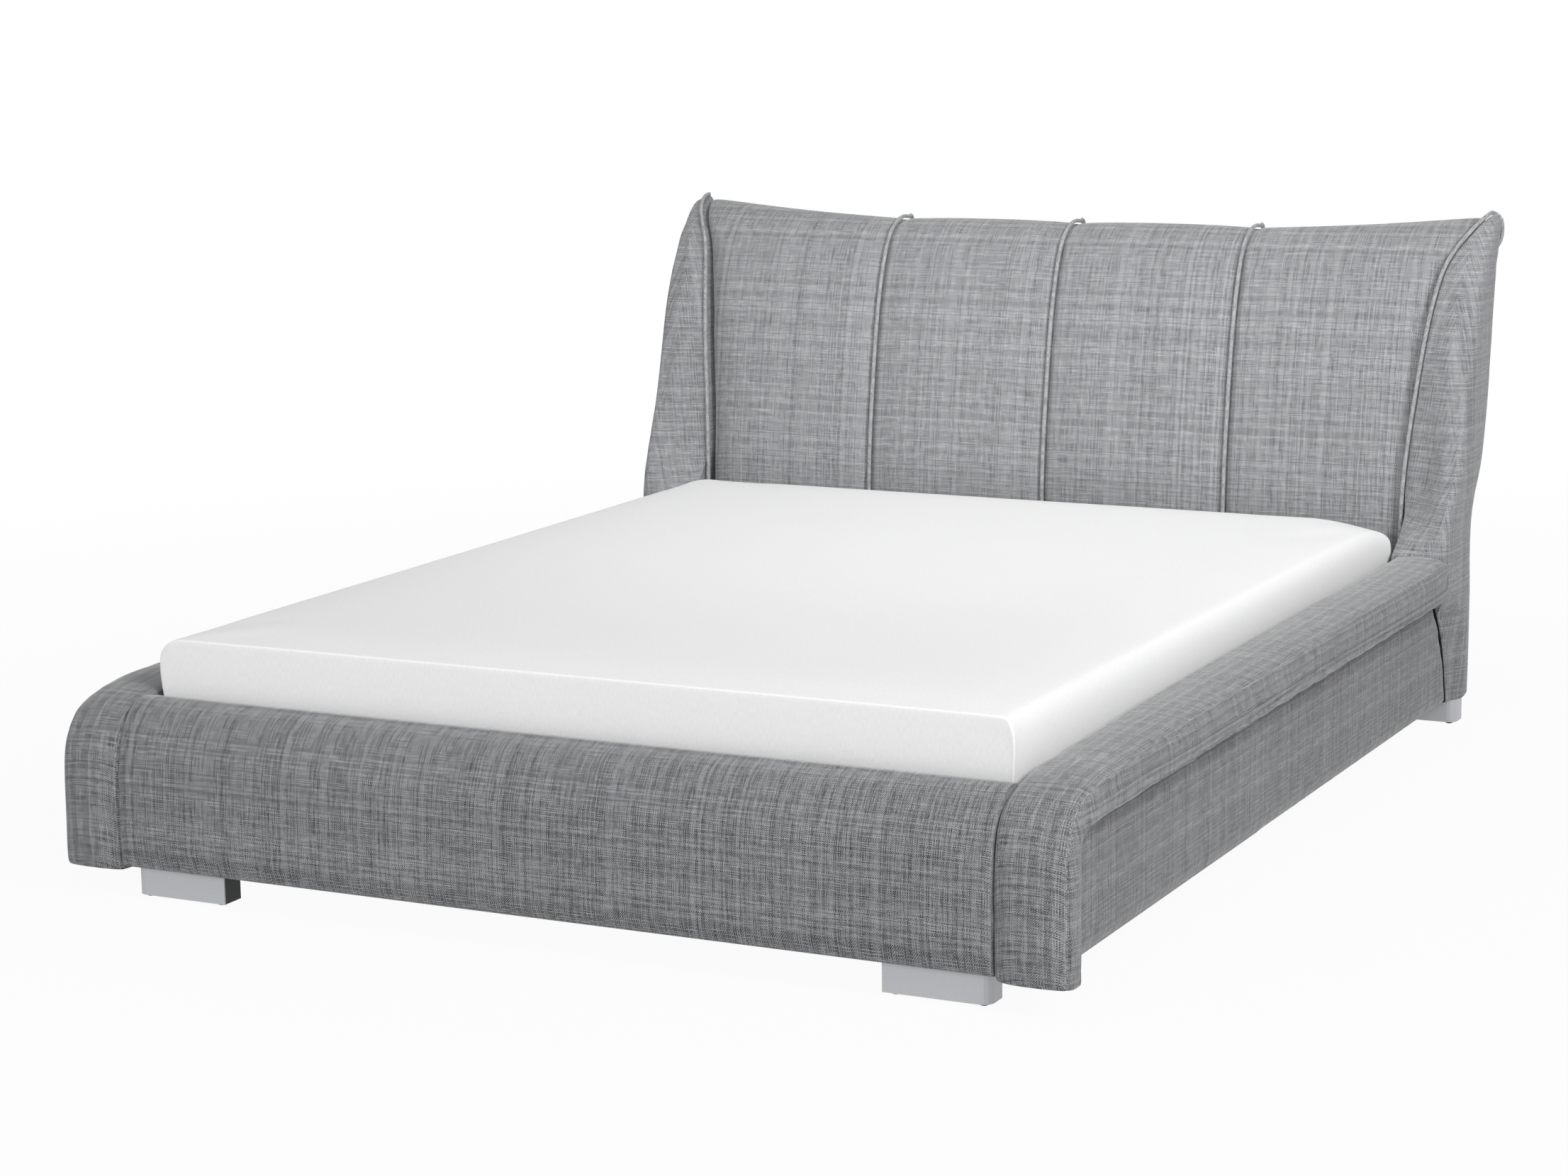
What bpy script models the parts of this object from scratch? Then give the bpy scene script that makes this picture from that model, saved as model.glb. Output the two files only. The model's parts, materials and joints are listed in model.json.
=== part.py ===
"""Softside waterbed in an upholstered bed frame, for Blender 4.5.

Metres, +Z up, foot end towards -Y. Every piece is modelled about the middle of the mattress
and hangs from one empty, which puts the middle of the bed's footprint on the origin.
"""
from math import cos, pi, radians, sin

import bmesh
import bpy
from mathutils import Vector

# Clearances
CLEAR = 0.0003
SCREW_CLEAR = 0.0004
OVERRUN = 0.004
MERGE_DISTANCE = 0.00003

# Pedestal and deck that carry the water
PEDESTAL_HEIGHT = 0.2117
PEDESTAL_LENGTH = 1.700
PEDESTAL_WIDTH = 1.300
PEDESTAL_BOARD = 0.018
PEDESTAL_LONG_SHARE = 0.660
PEDESTAL_CROSS_SHARE = 0.765
PEDESTAL_SLOT_CLEAR = 0.0005
DECK_THICKNESS = 0.018
DECK_INSET = 0.020

# Mattress: cover, foam frame and water cores
MATTRESS_WIDTH = 1.600
MATTRESS_LENGTH = 2.000
MATTRESS_HEIGHT = 0.2117
MATTRESS_CORNER = 0.035
MATTRESS_TOP_EDGE = 0.026
MATTRESS_CROWN = 0.006
MATTRESS_CROWN_SHARES = ((0.180, 0.450), (0.450, 0.820), (0.800, 1.000))
COVER_QUILT = 0.018
COVER_WALL = 0.006
COVER_FLOOR = 0.004
ZIP_HEIGHT = 0.068
ZIP_COIL = 0.0025
ZIP_PROUD = 0.0012
SLIDER_WIDTH = 0.010
SLIDER_HEIGHT = 0.014
SLIDER_THICKNESS = 0.004
SLIDER_CORNER_GAP = 0.080
SLIDER_TAPER = 0.0025
PULLER_LENGTH = 0.030
PULLER_WIDTH = 0.008
PULLER_THICKNESS = 0.002
PULLER_EDGE = 0.0005
FOAM_BASE = 0.140
FOAM_TOP = 0.090
FOAM_GAP = 0.0010
LINER_WALL = 0.0015
LINER_LIP = 0.012
HEATER_WIDTH = 0.300
HEATER_LENGTH = 0.900
HEATER_THICKNESS = 0.003
HEATER_GLAND_WIDTH = 0.026
HEATER_GLAND_LENGTH = 0.045
HEATER_FROM_FOOT = 0.400
DIVIDER_BASE = 0.026
DIVIDER_TOP = 0.014
DIVIDER_DROP = 0.020
BLADDER_ROOM = 0.0010
BLADDER_CORNER = 0.090
BLADDER_EDGE = 0.045
BLADDER_SHARES = (
    # height and how far the edge is drawn in
    (0.000, 0.750), (0.060, 0.280), (0.180, 0.000), (0.620, 0.000), (0.840, 0.160), (0.950, 0.480),
    (1.000, 1.000),
)
VALVE_FROM_FOOT = 0.380
VALVE_FROM_MIDDLE = 0.340
VALVE_WELL_RADIUS = 0.052
VALVE_WELL_DEPTH = 0.024
VALVE_FLANGE_RADIUS = 0.034
VALVE_FLANGE_THICKNESS = 0.003
VALVE_NECK_RADIUS = 0.015
VALVE_NECK_HEIGHT = 0.013
VALVE_BORE_RADIUS = 0.011
CAP_WALL = 0.004
CAP_TOP = 0.0035
CAP_RIB = 0.0009
CAP_RIBS = 14

# Legs
GLIDE_RADIUS = 0.009
GLIDE_HEIGHT = 0.005
GLIDE_INSET = 0.014
GLIDE_DOME_SHARES = ((0.550, 0.000), (0.850, 0.250))
LEG_WIDTH = 0.183
LEG_DEPTH = 0.048
LEG_HEIGHT = 0.0477
LEG_WALL = 0.003
LEG_CORNER = 0.018
LEG_FRONT_SETBACK = 0.025
LEG_FRONT_INSET = 0.013
LEG_REAR_INSET = 0.0165
LEG_BOLT_SETBACK = 0.0125
LEG_BOLT_RADIUS = 0.004
LEG_BOLT_GRIP = 0.030
LEG_BOLT_HEAD_RADIUS = 0.0075
LEG_BOLT_HEAD_HEIGHT = 0.0055

# Upholstered foot panel
FOOT_DEPTH = 0.1155
FOOT_HEIGHT = 0.291
FOOT_BOARD = 0.045
FOOT_BOARD_HEIGHT = 0.238
FOOT_LIP = 0.0187
FOOT_FRONT_SHARES = (
    (0.060, 0.000), (0.012, 0.060), (0.000, 0.200), (0.008, 0.460), (0.030, 0.632), (0.080, 0.740),
    (0.160, 0.835), (0.280, 0.915), (0.440, 0.968), (0.620, 0.996), (0.800, 1.000), (0.960, 0.992),
    (1.000, 0.965),
)

# Side rails and the pads that lie on them
MATTRESS_ROOM = 0.016
PAD_WIDTH = 0.127
PAD_THICKNESS_FRONT = 0.070
PAD_THICKNESS_REAR = 0.080
PAD_CROWN = 0.004
PAD_OUTER_EDGE = 0.021
PAD_INNER_EDGE = 0.010
CAP_DEPTH = 0.066
CAP_DROP = 0.004
CAP_INNER_RADIUS = 0.030
CAP_BEND_LENGTH = 0.192
CAP_BEND_HEIGHT = 0.154
CAP_FOOT_EDGE = 0.007
CAP_BEND_SHARES = (
    (0.000, 0.000), (0.020, 0.318), (0.068, 0.558), (0.172, 0.760), (0.400, 0.890), (0.690, 0.962),
    (1.000, 1.000),
)
PAD_RUN_SHARES = ((0.080, 0.350), (0.230, 0.800), (0.490, 1.000), (0.750, 1.000), (1.000, 1.000))
RAIL_HEIGHT_FRONT = 0.231
RAIL_HEIGHT_REAR = 0.241
RAIL_OVERHANG = 0.0485
RAIL_PADDING = 0.0505
RAIL_BOARD = 0.022
RAIL_EDGE = 0.006
SLOT_WIDTH = 0.003
SLOT_SWEEP = 0.111
SLOT_SETBACK = 0.015
SLOT_SHARES = ((0.000, 1.000), (0.400, 0.790), (0.710, 0.460), (0.920, 0.100), (1.000, 0.000))

# Headboard: heights are shares of its height, places are shares of its depth
HEAD_ROOM = 0.072
HEAD_DEPTH = 0.279
HEAD_HEIGHT = 0.952
HEAD_BOARD = 0.018
HEAD_PAD_REACH = 0.115
HEAD_SEAM_GAP = 0.002
HEAD_SEAM_SPREAD = 0.410
HEAD_TIP_INSET = 0.013
HEAD_TIP_RISE = 0.035
HEAD_SIDE_FORWARD = 0.018
HEAD_CROWN = 0.013
HEAD_TOP_CROWN = 0.005
HEAD_CROWN_FULLNESS = 0.70
HEAD_CROWN_TURN = 12
HEAD_TIP_POWER = 6
HEAD_FLARE_POWER = 10
HEAD_CHANNEL_STEPS = 6
HEAD_BACK_STEPS = 4
HEAD_STEP = 0.003
HEAD_SECTION_SHARES = (
    # height, front face, front of the board, back face, seam's way out to the tip
    (0.000, 0.000, 0.143, 0.300, 0.000),
    (0.207, 0.005, 0.143, 0.300, 0.000),
    (0.380, 0.020, 0.143, 0.300, 0.000),
    (0.460, 0.036, 0.190, 0.370, 0.015),
    (0.520, 0.054, 0.265, 0.460, 0.040),
    (0.605, 0.098, 0.360, 0.556, 0.090),
    (0.689, 0.140, 0.425, 0.615, 0.160),
    (0.768, 0.190, 0.462, 0.652, 0.215),
    (0.852, 0.262, 0.485, 0.690, 0.300),
    (0.921, 0.350, 0.502, 0.730, 0.400),
)
HEAD_PAD_FIRST_ROW = 1
HEAD_ROLL_SHARES = (
    # height and place of the front face, then of the pad's underside behind it
    (0.962, 0.430, 0.922, 0.502),
    (0.989, 0.545, 0.922, 0.570),
    (1.000, 0.680, 0.951, 0.680),
    (0.996, 0.790, 0.980, 0.785),
)
HEAD_TOP_SEAM_SHARE = 0.860
HEAD_BACK_TOP_SHARE = 0.835
WING_INSET = 0.0180
WING_ROOM = 0.010
WING_EDGE = 0.015
WING_BACK_EDGE = 0.012
WING_CROWN = 0.006
WING_CROWN_SHARE = 0.050
WING_EDGE_SHARE = 0.600
WING_SEAM_SHARE = 0.340
WING_LOW_SHARES = (
    # height from the pads to the mattress seam, outer front, inner front, inner seam, crown
    (0.000, 0.000, 0.000, 1.000, 0.000),
    (0.150, 0.000, 0.250, 0.850, 0.300),
    (0.560, 0.090, 0.900, 0.330, 1.000),
)
WING_FRONT_SHARES = (-0.256, -0.166, -0.070, 0.007, 0.065, 0.172, 0.340, 0.480, 0.640, 0.790)
WING_FOLD_SHARES = (0.150, 0.020, 0.150, 0.320, 0.400, 0.400, 0.400, 0.400, 0.400, 0.400)
PIPING_RADIUS = 0.0045
PIPING_TAIL = 0.020

# Corner brackets
BRACKET_ARM = 0.060
BRACKET_HEIGHT = 0.090
BRACKET_STEEL = 0.003
BRACKET_RAISE = 0.045
BRACKET_BOLT_RADIUS = 0.004
BRACKET_BOLT_GRIP = 0.014
BRACKET_BOLT_HEAD_RADIUS = 0.007
BRACKET_BOLT_HEAD_HEIGHT = 0.0045
BRACKET_BOLT_SHARE = 0.600

# Facets
CORNER_STEPS = 4
ROUND_STEPS = 12
CAP_STEPS = 2
SMOOTH_ANGLE = radians(40)

# Places worked out from the sizes
HALF_WIDTH = MATTRESS_WIDTH / 2
HALF_LENGTH = MATTRESS_LENGTH / 2
PEDESTAL_LONG_SPREAD = PEDESTAL_WIDTH * PEDESTAL_LONG_SHARE
PEDESTAL_CROSS_SPREAD = PEDESTAL_LENGTH * PEDESTAL_CROSS_SHARE
DECK_BOTTOM = PEDESTAL_HEIGHT + CLEAR
DECK_TOP = DECK_BOTTOM + DECK_THICKNESS
COVER_BOTTOM = DECK_TOP + CLEAR
CORE_BOTTOM = COVER_BOTTOM + COVER_FLOOR + CLEAR
MATTRESS_TOP = DECK_TOP + CLEAR + MATTRESS_HEIGHT
MATTRESS_BULGE = WING_ROOM - CLEAR
CEILING = MATTRESS_TOP - COVER_QUILT
ZIP_BOTTOM = COVER_BOTTOM + ZIP_HEIGHT
LINER_BOTTOM = CORE_BOTTOM + HEATER_THICKNESS + CLEAR
WATER_BOTTOM = LINER_BOTTOM + LINER_WALL + CLEAR
WATER_TOP = CEILING - CLEAR
FRAME_BOTTOM = GLIDE_HEIGHT + LEG_HEIGHT + CLEAR
FOOT_BACK = -HALF_LENGTH - ZIP_PROUD - CLEAR
FOOT_FRONT = FOOT_BACK - FOOT_DEPTH
FOOT_BOARD_BACK = FOOT_BACK - FOOT_LIP
FOOT_BOARD_TOP = FRAME_BOTTOM + FOOT_BOARD_HEIGHT
PAD_INNER = HALF_WIDTH + MATTRESS_ROOM
PAD_OUTER = PAD_INNER + PAD_WIDTH
RAIL_OUTER = PAD_OUTER - RAIL_OVERHANG
RAIL_INNER = RAIL_OUTER - RAIL_PADDING
RAIL_BOARD_INNER = RAIL_INNER - CLEAR - RAIL_BOARD
CAP_BACK = FOOT_FRONT + CAP_DEPTH
HEAD_FRONT = HALF_LENGTH + HEAD_ROOM
PAD_REAR = HEAD_FRONT - HEAD_PAD_REACH
SLOT_TOP = PAD_REAR + SLOT_SETBACK
HEAD_BOARD_FRONT = HEAD_FRONT + HEAD_DEPTH * HEAD_SECTION_SHARES[0][2]
HEAD_LOW_BACK = HEAD_FRONT + HEAD_DEPTH * HEAD_SECTION_SHARES[0][3]
HEAD_TIP = PAD_OUTER - HEAD_TIP_INSET
WING_OUTER = PAD_OUTER - WING_INSET
BED_BACK = HEAD_FRONT + HEAD_DEPTH
BED_MIDDLE = (FOOT_FRONT - PAD_CROWN + BED_BACK) / 2


# Building tools
def clear_scene():
    """Remove every object, so that the script starts from nothing."""
    for item in list(bpy.data.objects):
        bpy.data.objects.remove(item, do_unlink=True)


def make_material(name, colour, roughness, metallic=0.0):
    """Principled material with a plain colour."""
    made = bpy.data.materials.new(name)
    made.use_nodes = True
    shader = made.node_tree.nodes["Principled BSDF"]
    shader.inputs["Base Color"].default_value = (*colour, 1.0)
    shader.inputs["Roughness"].default_value = roughness
    shader.inputs["Metallic"].default_value = metallic
    made.diffuse_color = (*colour, 1.0)
    return made


def add_piece(name, shape, finish, axis=(0, 0, 0), smooth=True):
    """Turn a bmesh in bed coordinates into an object whose origin lies at axis."""
    bmesh.ops.recalc_face_normals(shape, faces=shape.faces)
    bmesh.ops.translate(shape, verts=shape.verts, vec=-Vector(axis))
    mesh = bpy.data.meshes.new(name)
    shape.to_mesh(mesh)
    shape.free()
    mesh.materials.append(FINISHES[finish])
    if smooth:
        mesh.shade_smooth()
        mesh.set_sharp_from_angle(angle=SMOOTH_ANGLE)
    piece = bpy.data.objects.new(name, mesh)
    piece.location = axis
    piece.parent = BED
    bpy.context.scene.collection.objects.link(piece)
    return piece


def loft(shape, rings):
    """Close a solid through rings of equally many points, with a cap at each end."""
    rows = [[shape.verts.new(point) for point in ring] for ring in rings]
    count = len(rows[0])
    for low, high in zip(rows, rows[1:]):
        for k in range(count):
            n = (k + 1) % count
            shape.faces.new((low[k], low[n], high[n], high[k]))
    shape.faces.new(rows[0])
    shape.faces.new(rows[-1])


def lofted(rings):
    """A new bmesh that holds one lofted solid."""
    shape = bmesh.new()
    loft(shape, rings)
    return shape


def along_x(outline, start, end):
    """Rings of an outline in Y and Z at two places on X."""
    return [[(x, y, z) for y, z in outline] for x in (start, end)]


def along_y(outline, start, end):
    """Rings of an outline in X and Z at two places on Y."""
    return [[(x, y, z) for x, z in outline] for y in (start, end)]


def along_z(outline, start, end):
    """Rings of an outline in X and Y at two places on Z."""
    return [[(x, y, z) for x, y in outline] for z in (start, end)]


def rectangle(low_a, low_b, high_a, high_b):
    """Four corners of a rectangle."""
    return [(low_a, low_b), (high_a, low_b), (high_a, high_b), (low_a, high_b)]


def rounded_rectangle(middle_x, half_x, half_y, radius, z):
    """Ring of a rectangle with round corners at height z."""
    ring = []
    for quarter in range(4):
        side_x = 1 if quarter in (0, 3) else -1
        side_y = 1 if quarter in (0, 1) else -1
        for step in range(CORNER_STEPS + 1):
            angle = pi / 2 * (quarter + step / CORNER_STEPS)
            ring.append((middle_x + side_x * (half_x - radius) + radius * cos(angle),
                         side_y * (half_y - radius) + radius * sin(angle), z))
    return ring


def turned(profile, centre, steps=ROUND_STEPS, rib=0.0):
    """Solid turned about a vertical axis from a closed profile of radius and height.

    A rib makes every other column of the outermost points stand out by that much.
    """
    outermost = max(radius for radius, height in profile)
    shape = bmesh.new()
    columns = []
    for step in range(steps):
        angle = 2 * pi * step / steps
        column = []
        for radius, height in profile:
            if radius == outermost and step % 2:
                radius += rib
            column.append(shape.verts.new((centre[0] + radius * cos(angle),
                                           centre[1] + radius * sin(angle), centre[2] + height)))
        columns.append(column)
    count = len(profile)
    for step in range(steps):
        near, far = columns[step], columns[(step + 1) % steps]
        for k in range(count):
            n = (k + 1) % count
            shape.faces.new((near[k], near[n], far[n], far[k]))
    bmesh.ops.remove_doubles(shape, verts=shape.verts, dist=MERGE_DISTANCE)
    return shape


def rod(shape, start, end, radius, steps=ROUND_STEPS):
    """Round bar between two points that differ along one axis."""
    way = (Vector(end) - Vector(start)).normalized()
    side = way.orthogonal().normalized()
    other = way.cross(side)
    rings = []
    for place in (start, end):
        ring = []
        for step in range(steps):
            angle = 2 * pi * step / steps
            ring.append(Vector(place) + side * radius * cos(angle) + other * radius * sin(angle))
        rings.append(ring)
    loft(shape, rings)


def bolt(shape, seat, way, head_radius, head_height, shank_radius, shank_length):
    """Hexagon bolt as one solid: its head stands off the seat, its shank goes along way."""
    seat = Vector(seat)
    way = Vector(way)
    side = way.orthogonal().normalized()
    other = way.cross(side)
    rings = []
    sections = ((-head_height, head_radius), (0, head_radius),
                (0, shank_radius), (shank_length, shank_radius))
    for distance, radius in sections:
        ring = []
        for step in range(ROUND_STEPS):
            angle = 2 * pi * step / ROUND_STEPS
            reach = radius
            if radius == head_radius and step % 2:
                reach = radius * cos(pi / 6)
            ring.append(seat + way * distance + side * reach * cos(angle) + other * reach * sin(angle))
        rings.append(ring)
    loft(shape, rings)


def combine(piece, name, tools, operation="DIFFERENCE"):
    """Cut hidden tool bodies out of a piece, or unite them with it, with an exact Boolean."""
    bmesh.ops.recalc_face_normals(tools, faces=tools.faces)
    mesh = bpy.data.meshes.new(name)
    tools.to_mesh(mesh)
    tools.free()
    cutter = bpy.data.objects.new(name, mesh)
    cutter.parent = BED
    cutter.hide_render = True
    cutter.display_type = "WIRE"
    bpy.context.scene.collection.objects.link(cutter)
    step = piece.modifiers.new(name, "BOOLEAN")
    step.operation = operation
    step.solver = "EXACT"
    step.object = cutter


def soften(piece, width, segments=2):
    """Round a piece's sharp edges."""
    step = piece.modifiers.new("edge", "BEVEL")
    step.width = width
    step.segments = segments
    step.limit_method = "ANGLE"
    step.angle_limit = SMOOTH_ANGLE


def tube(name, path, radius, finish):
    """Round cord along a list of points."""
    data = bpy.data.curves.new(name, "CURVE")
    data.dimensions = "3D"
    data.bevel_depth = radius
    data.bevel_resolution = CAP_STEPS
    data.use_fill_caps = True
    spline = data.splines.new("POLY")
    spline.points.add(len(path) - 1)
    for place, point in zip(spline.points, path):
        place.co = (*point, 1.0)
    data.materials.append(FINISHES[finish])
    piece = bpy.data.objects.new(name, data)
    piece.parent = BED
    bpy.context.scene.collection.objects.link(piece)
    return piece


def blend(first, last, share):
    """Value a share of the way from first to last."""
    return first + (last - first) * share


def sides():
    """Name and sign of the bed's two sides."""
    return (("left", -1), ("right", 1))


# Pedestal and deck
def slotted(low, high, slots, width, from_top):
    """Outline of a board with half-height slots, in its length and Z."""
    half = PEDESTAL_HEIGHT / 2
    reach = half - PEDESTAL_SLOT_CLEAR if from_top else half + PEDESTAL_SLOT_CLEAR
    edge = PEDESTAL_HEIGHT if from_top else 0
    points = []
    for place in slots:
        points += [(place - width / 2, edge), (place - width / 2, reach),
                   (place + width / 2, reach), (place + width / 2, edge)]
    if from_top:
        return [(high, 0), (low, 0), (low, PEDESTAL_HEIGHT)] + points + [(high, PEDESTAL_HEIGHT)]
    return [(high, PEDESTAL_HEIGHT), (low, PEDESTAL_HEIGHT), (low, 0)] + points + [(high, 0)]


def build_pedestal():
    """Long and cross boards that halve into each other and stand on the floor."""
    long_places = [side * PEDESTAL_LONG_SPREAD / 2 for name, side in sides()]
    cross_places = [share * PEDESTAL_CROSS_SPREAD / 2 for share in (-1, 0, 1)]
    width = PEDESTAL_BOARD + 2 * PEDESTAL_SLOT_CLEAR
    for name, side in sides():
        middle = side * PEDESTAL_LONG_SPREAD / 2
        outline = slotted(-PEDESTAL_LENGTH / 2, PEDESTAL_LENGTH / 2, cross_places, width, True)
        rings = along_x(outline, middle - PEDESTAL_BOARD / 2, middle + PEDESTAL_BOARD / 2)
        add_piece("pedestal_long_" + name, lofted(rings), "chipboard", smooth=False)
    for name, middle in zip(("foot", "middle", "head"), cross_places):
        outline = slotted(-PEDESTAL_WIDTH / 2, PEDESTAL_WIDTH / 2, long_places, width, False)
        rings = along_y(outline, middle - PEDESTAL_BOARD / 2, middle + PEDESTAL_BOARD / 2)
        add_piece("pedestal_cross_" + name, lofted(rings), "chipboard", smooth=False)


def build_deck():
    """Two boards side by side under the mattress."""
    reach_x = HALF_WIDTH - DECK_INSET
    reach_y = HALF_LENGTH - DECK_INSET
    for name, side in sides():
        near, far = sorted((side * CLEAR, side * reach_x))
        rings = along_z(rectangle(near, -reach_y, far, reach_y), DECK_BOTTOM, DECK_TOP)
        add_piece("deck_board_" + name, lofted(rings), "chipboard", smooth=False)


# Mattress cover and its zip
def mattress_ring(inset, z, bulge=0):
    """Ring at a distance inside the mattress's outline, with sides that may bulge."""
    half_x = HALF_WIDTH - inset + bulge
    return rounded_rectangle(0, half_x, HALF_LENGTH - inset, MATTRESS_CORNER, z)


def inner_ring(inset, z):
    """Ring inside the cover's wall, with a corner that keeps the wall's thickness."""
    radius = max(MATTRESS_CORNER - inset, CLEAR)
    return rounded_rectangle(0, HALF_WIDTH - inset, HALF_LENGTH - inset, radius, z)


def build_cover_base():
    """Lower half of the cover: an open fabric tray with its half of the zip along the rim."""
    top = ZIP_BOTTOM
    floor = COVER_BOTTOM + COVER_FLOOR
    edge = COVER_FLOOR
    rings = [mattress_ring(edge, COVER_BOTTOM), mattress_ring(0, COVER_BOTTOM + edge),
             mattress_ring(0, top - ZIP_COIL), mattress_ring(-ZIP_PROUD, top - ZIP_COIL / 2),
             mattress_ring(-ZIP_PROUD, top), inner_ring(COVER_WALL, top), inner_ring(COVER_WALL, floor)]
    add_piece("cover_base", lofted(rings), "cover_base")


def build_cover_top():
    """Upper half of the cover: a crowned quilt with a skirt that ends in the zip's other half."""
    skirt = ZIP_BOTTOM + CLEAR
    edge = MATTRESS_TOP_EDGE
    height = MATTRESS_TOP - skirt
    rings = [inner_ring(COVER_WALL, CEILING), inner_ring(COVER_WALL, skirt),
             mattress_ring(-ZIP_PROUD, skirt), mattress_ring(-ZIP_PROUD, skirt + ZIP_COIL / 2),
             mattress_ring(0, skirt + ZIP_COIL),
             mattress_ring(0, skirt + height / 2, MATTRESS_BULGE), mattress_ring(0, MATTRESS_TOP - edge)]
    for step in range(1, CORNER_STEPS + 1):
        angle = pi / 2 * step / CORNER_STEPS
        rings.append(mattress_ring(edge * (1 - cos(angle)), MATTRESS_TOP - edge * (1 - sin(angle))))
    for share, lift_share in MATTRESS_CROWN_SHARES:
        narrow = (HALF_WIDTH - MATTRESS_CORNER) * share
        rings.append(mattress_ring(narrow, MATTRESS_TOP + MATTRESS_CROWN * lift_share))
    add_piece("cover_top", lofted(rings), "cover_top")


def build_zip():
    """Slider of the zip behind the head end, with its pull tab."""
    middle_x = HALF_WIDTH - SLIDER_CORNER_GAP
    middle_z = ZIP_BOTTOM + CLEAR / 2
    near = HALF_LENGTH + ZIP_PROUD + CLEAR
    far = near + SLIDER_THICKNESS
    body = SLIDER_WIDTH / 2
    waist = body - SLIDER_TAPER
    low = middle_z - SLIDER_HEIGHT / 2
    high = middle_z + SLIDER_HEIGHT / 2
    outline = [(middle_x - waist, low), (middle_x + waist, low),
               (middle_x + body, high), (middle_x - body, high)]
    shape = lofted(along_y(outline, near, far))
    add_piece("zip_slider", shape, "zip_metal", axis=(middle_x, far, middle_z), smooth=False)
    tab_near = far + CLEAR
    tab_top = middle_z + PULLER_THICKNESS / 2
    outline = rectangle(middle_x - PULLER_WIDTH / 2, tab_top - PULLER_LENGTH,
                        middle_x + PULLER_WIDTH / 2, tab_top)
    shape = lofted(along_y(outline, tab_near, tab_near + PULLER_THICKNESS))
    hinge = (middle_x, tab_near + PULLER_THICKNESS / 2, middle_z)
    piece = add_piece("zip_puller", shape, "zip_metal", axis=hinge)
    soften(piece, PULLER_EDGE, 1)


# Foam frame, liner, heaters and water cores
def core_half(base, z):
    """Distance from the cover's inside to the foam's sloping face at height z."""
    share = (z - CORE_BOTTOM) / (CEILING - CORE_BOTTOM)
    return base - COVER_WALL - FOAM_GAP - blend(FOAM_BASE, FOAM_TOP, share)


def build_foam_frame():
    """Four foam rails with a sloping inner face that hold the water cores."""
    low = CORE_BOTTOM
    high = CEILING - CLEAR
    outer_y = HALF_LENGTH - COVER_WALL - FOAM_GAP
    outer_x = HALF_WIDTH - COVER_WALL - FOAM_GAP
    corner = MATTRESS_CORNER - COVER_WALL
    for name, side in sides():
        rings = []
        for z in (low, high):
            inner = core_half(HALF_WIDTH, z)
            ring = [(side * inner, -outer_y, z)]
            for step in range(CORNER_STEPS + 1):
                angle = -pi / 2 + pi / 2 * step / CORNER_STEPS
                ring.append((side * (outer_x - corner + corner * cos(angle)),
                             -outer_y + corner + corner * sin(angle), z))
            for step in range(CORNER_STEPS + 1):
                angle = pi / 2 * step / CORNER_STEPS
                ring.append((side * (outer_x - corner + corner * cos(angle)),
                             outer_y - corner + corner * sin(angle), z))
            ring.append((side * inner, outer_y, z))
            rings.append(ring)
        add_piece("foam_rail_" + name, lofted(rings), "foam")
    for name, side in (("foot", -1), ("head", 1)):
        rings = []
        for z in (low, high):
            inner = side * core_half(HALF_LENGTH, z)
            half = core_half(HALF_WIDTH, z) - CLEAR
            outer = side * outer_y
            rings.append([(-half, outer, z), (-half, inner, z), (half, inner, z), (half, outer, z)])
        add_piece("foam_rail_" + name, lofted(rings), "foam")


def core_ring(inset, z, radius):
    """Ring at a distance inside the foam's sloping faces."""
    half_x = core_half(HALF_WIDTH, z) - inset
    half_y = core_half(HALF_LENGTH, z) - inset
    return rounded_rectangle(0, half_x, half_y, radius, z)


def build_liner():
    """Vinyl tray that would catch a leak, lying on the heaters and up the foam."""
    top = CEILING - LINER_LIP
    floor = LINER_BOTTOM + LINER_WALL
    outer = CLEAR
    inner = CLEAR + LINER_WALL
    rings = [core_ring(outer, LINER_BOTTOM, LINER_LIP), core_ring(outer, top, LINER_LIP),
             core_ring(inner, top, LINER_LIP), core_ring(inner, floor, LINER_LIP)]
    add_piece("safety_liner", lofted(rings), "vinyl_liner")


def build_heaters():
    """Flat heating pads with a moulded gland at the foot end."""
    for name, side in sides():
        middle = side * core_half(HALF_WIDTH, CORE_BOTTOM) / 2
        half = HEATER_WIDTH / 2
        foot = -HALF_LENGTH + HEATER_FROM_FOOT
        head = foot + HEATER_LENGTH
        gland = HEATER_GLAND_WIDTH / 2
        neck = gland / 2
        outline = [(middle - half, head), (middle - half, foot), (middle - gland, foot),
                   (middle - neck, foot - HEATER_GLAND_LENGTH), (middle + neck, foot - HEATER_GLAND_LENGTH),
                   (middle + gland, foot), (middle + half, foot), (middle + half, head)]
        add_piece("heater_" + name, lofted(along_z(outline, CORE_BOTTOM, CORE_BOTTOM + HEATER_THICKNESS)),
                  "heater", smooth=False)


def build_divider():
    """Foam wedge that parts the two water cores."""
    low = WATER_BOTTOM
    high = WATER_TOP - DIVIDER_DROP
    rings = []
    for z, width in ((low, DIVIDER_BASE), (high, DIVIDER_TOP)):
        reach = core_half(HALF_LENGTH, low) - CLEAR - LINER_WALL - BLADDER_ROOM
        rings.append([(x, y, z) for x, y in rectangle(-width / 2, -reach, width / 2, reach)])
    add_piece("thermal_divider", lofted(rings), "foam")


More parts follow.
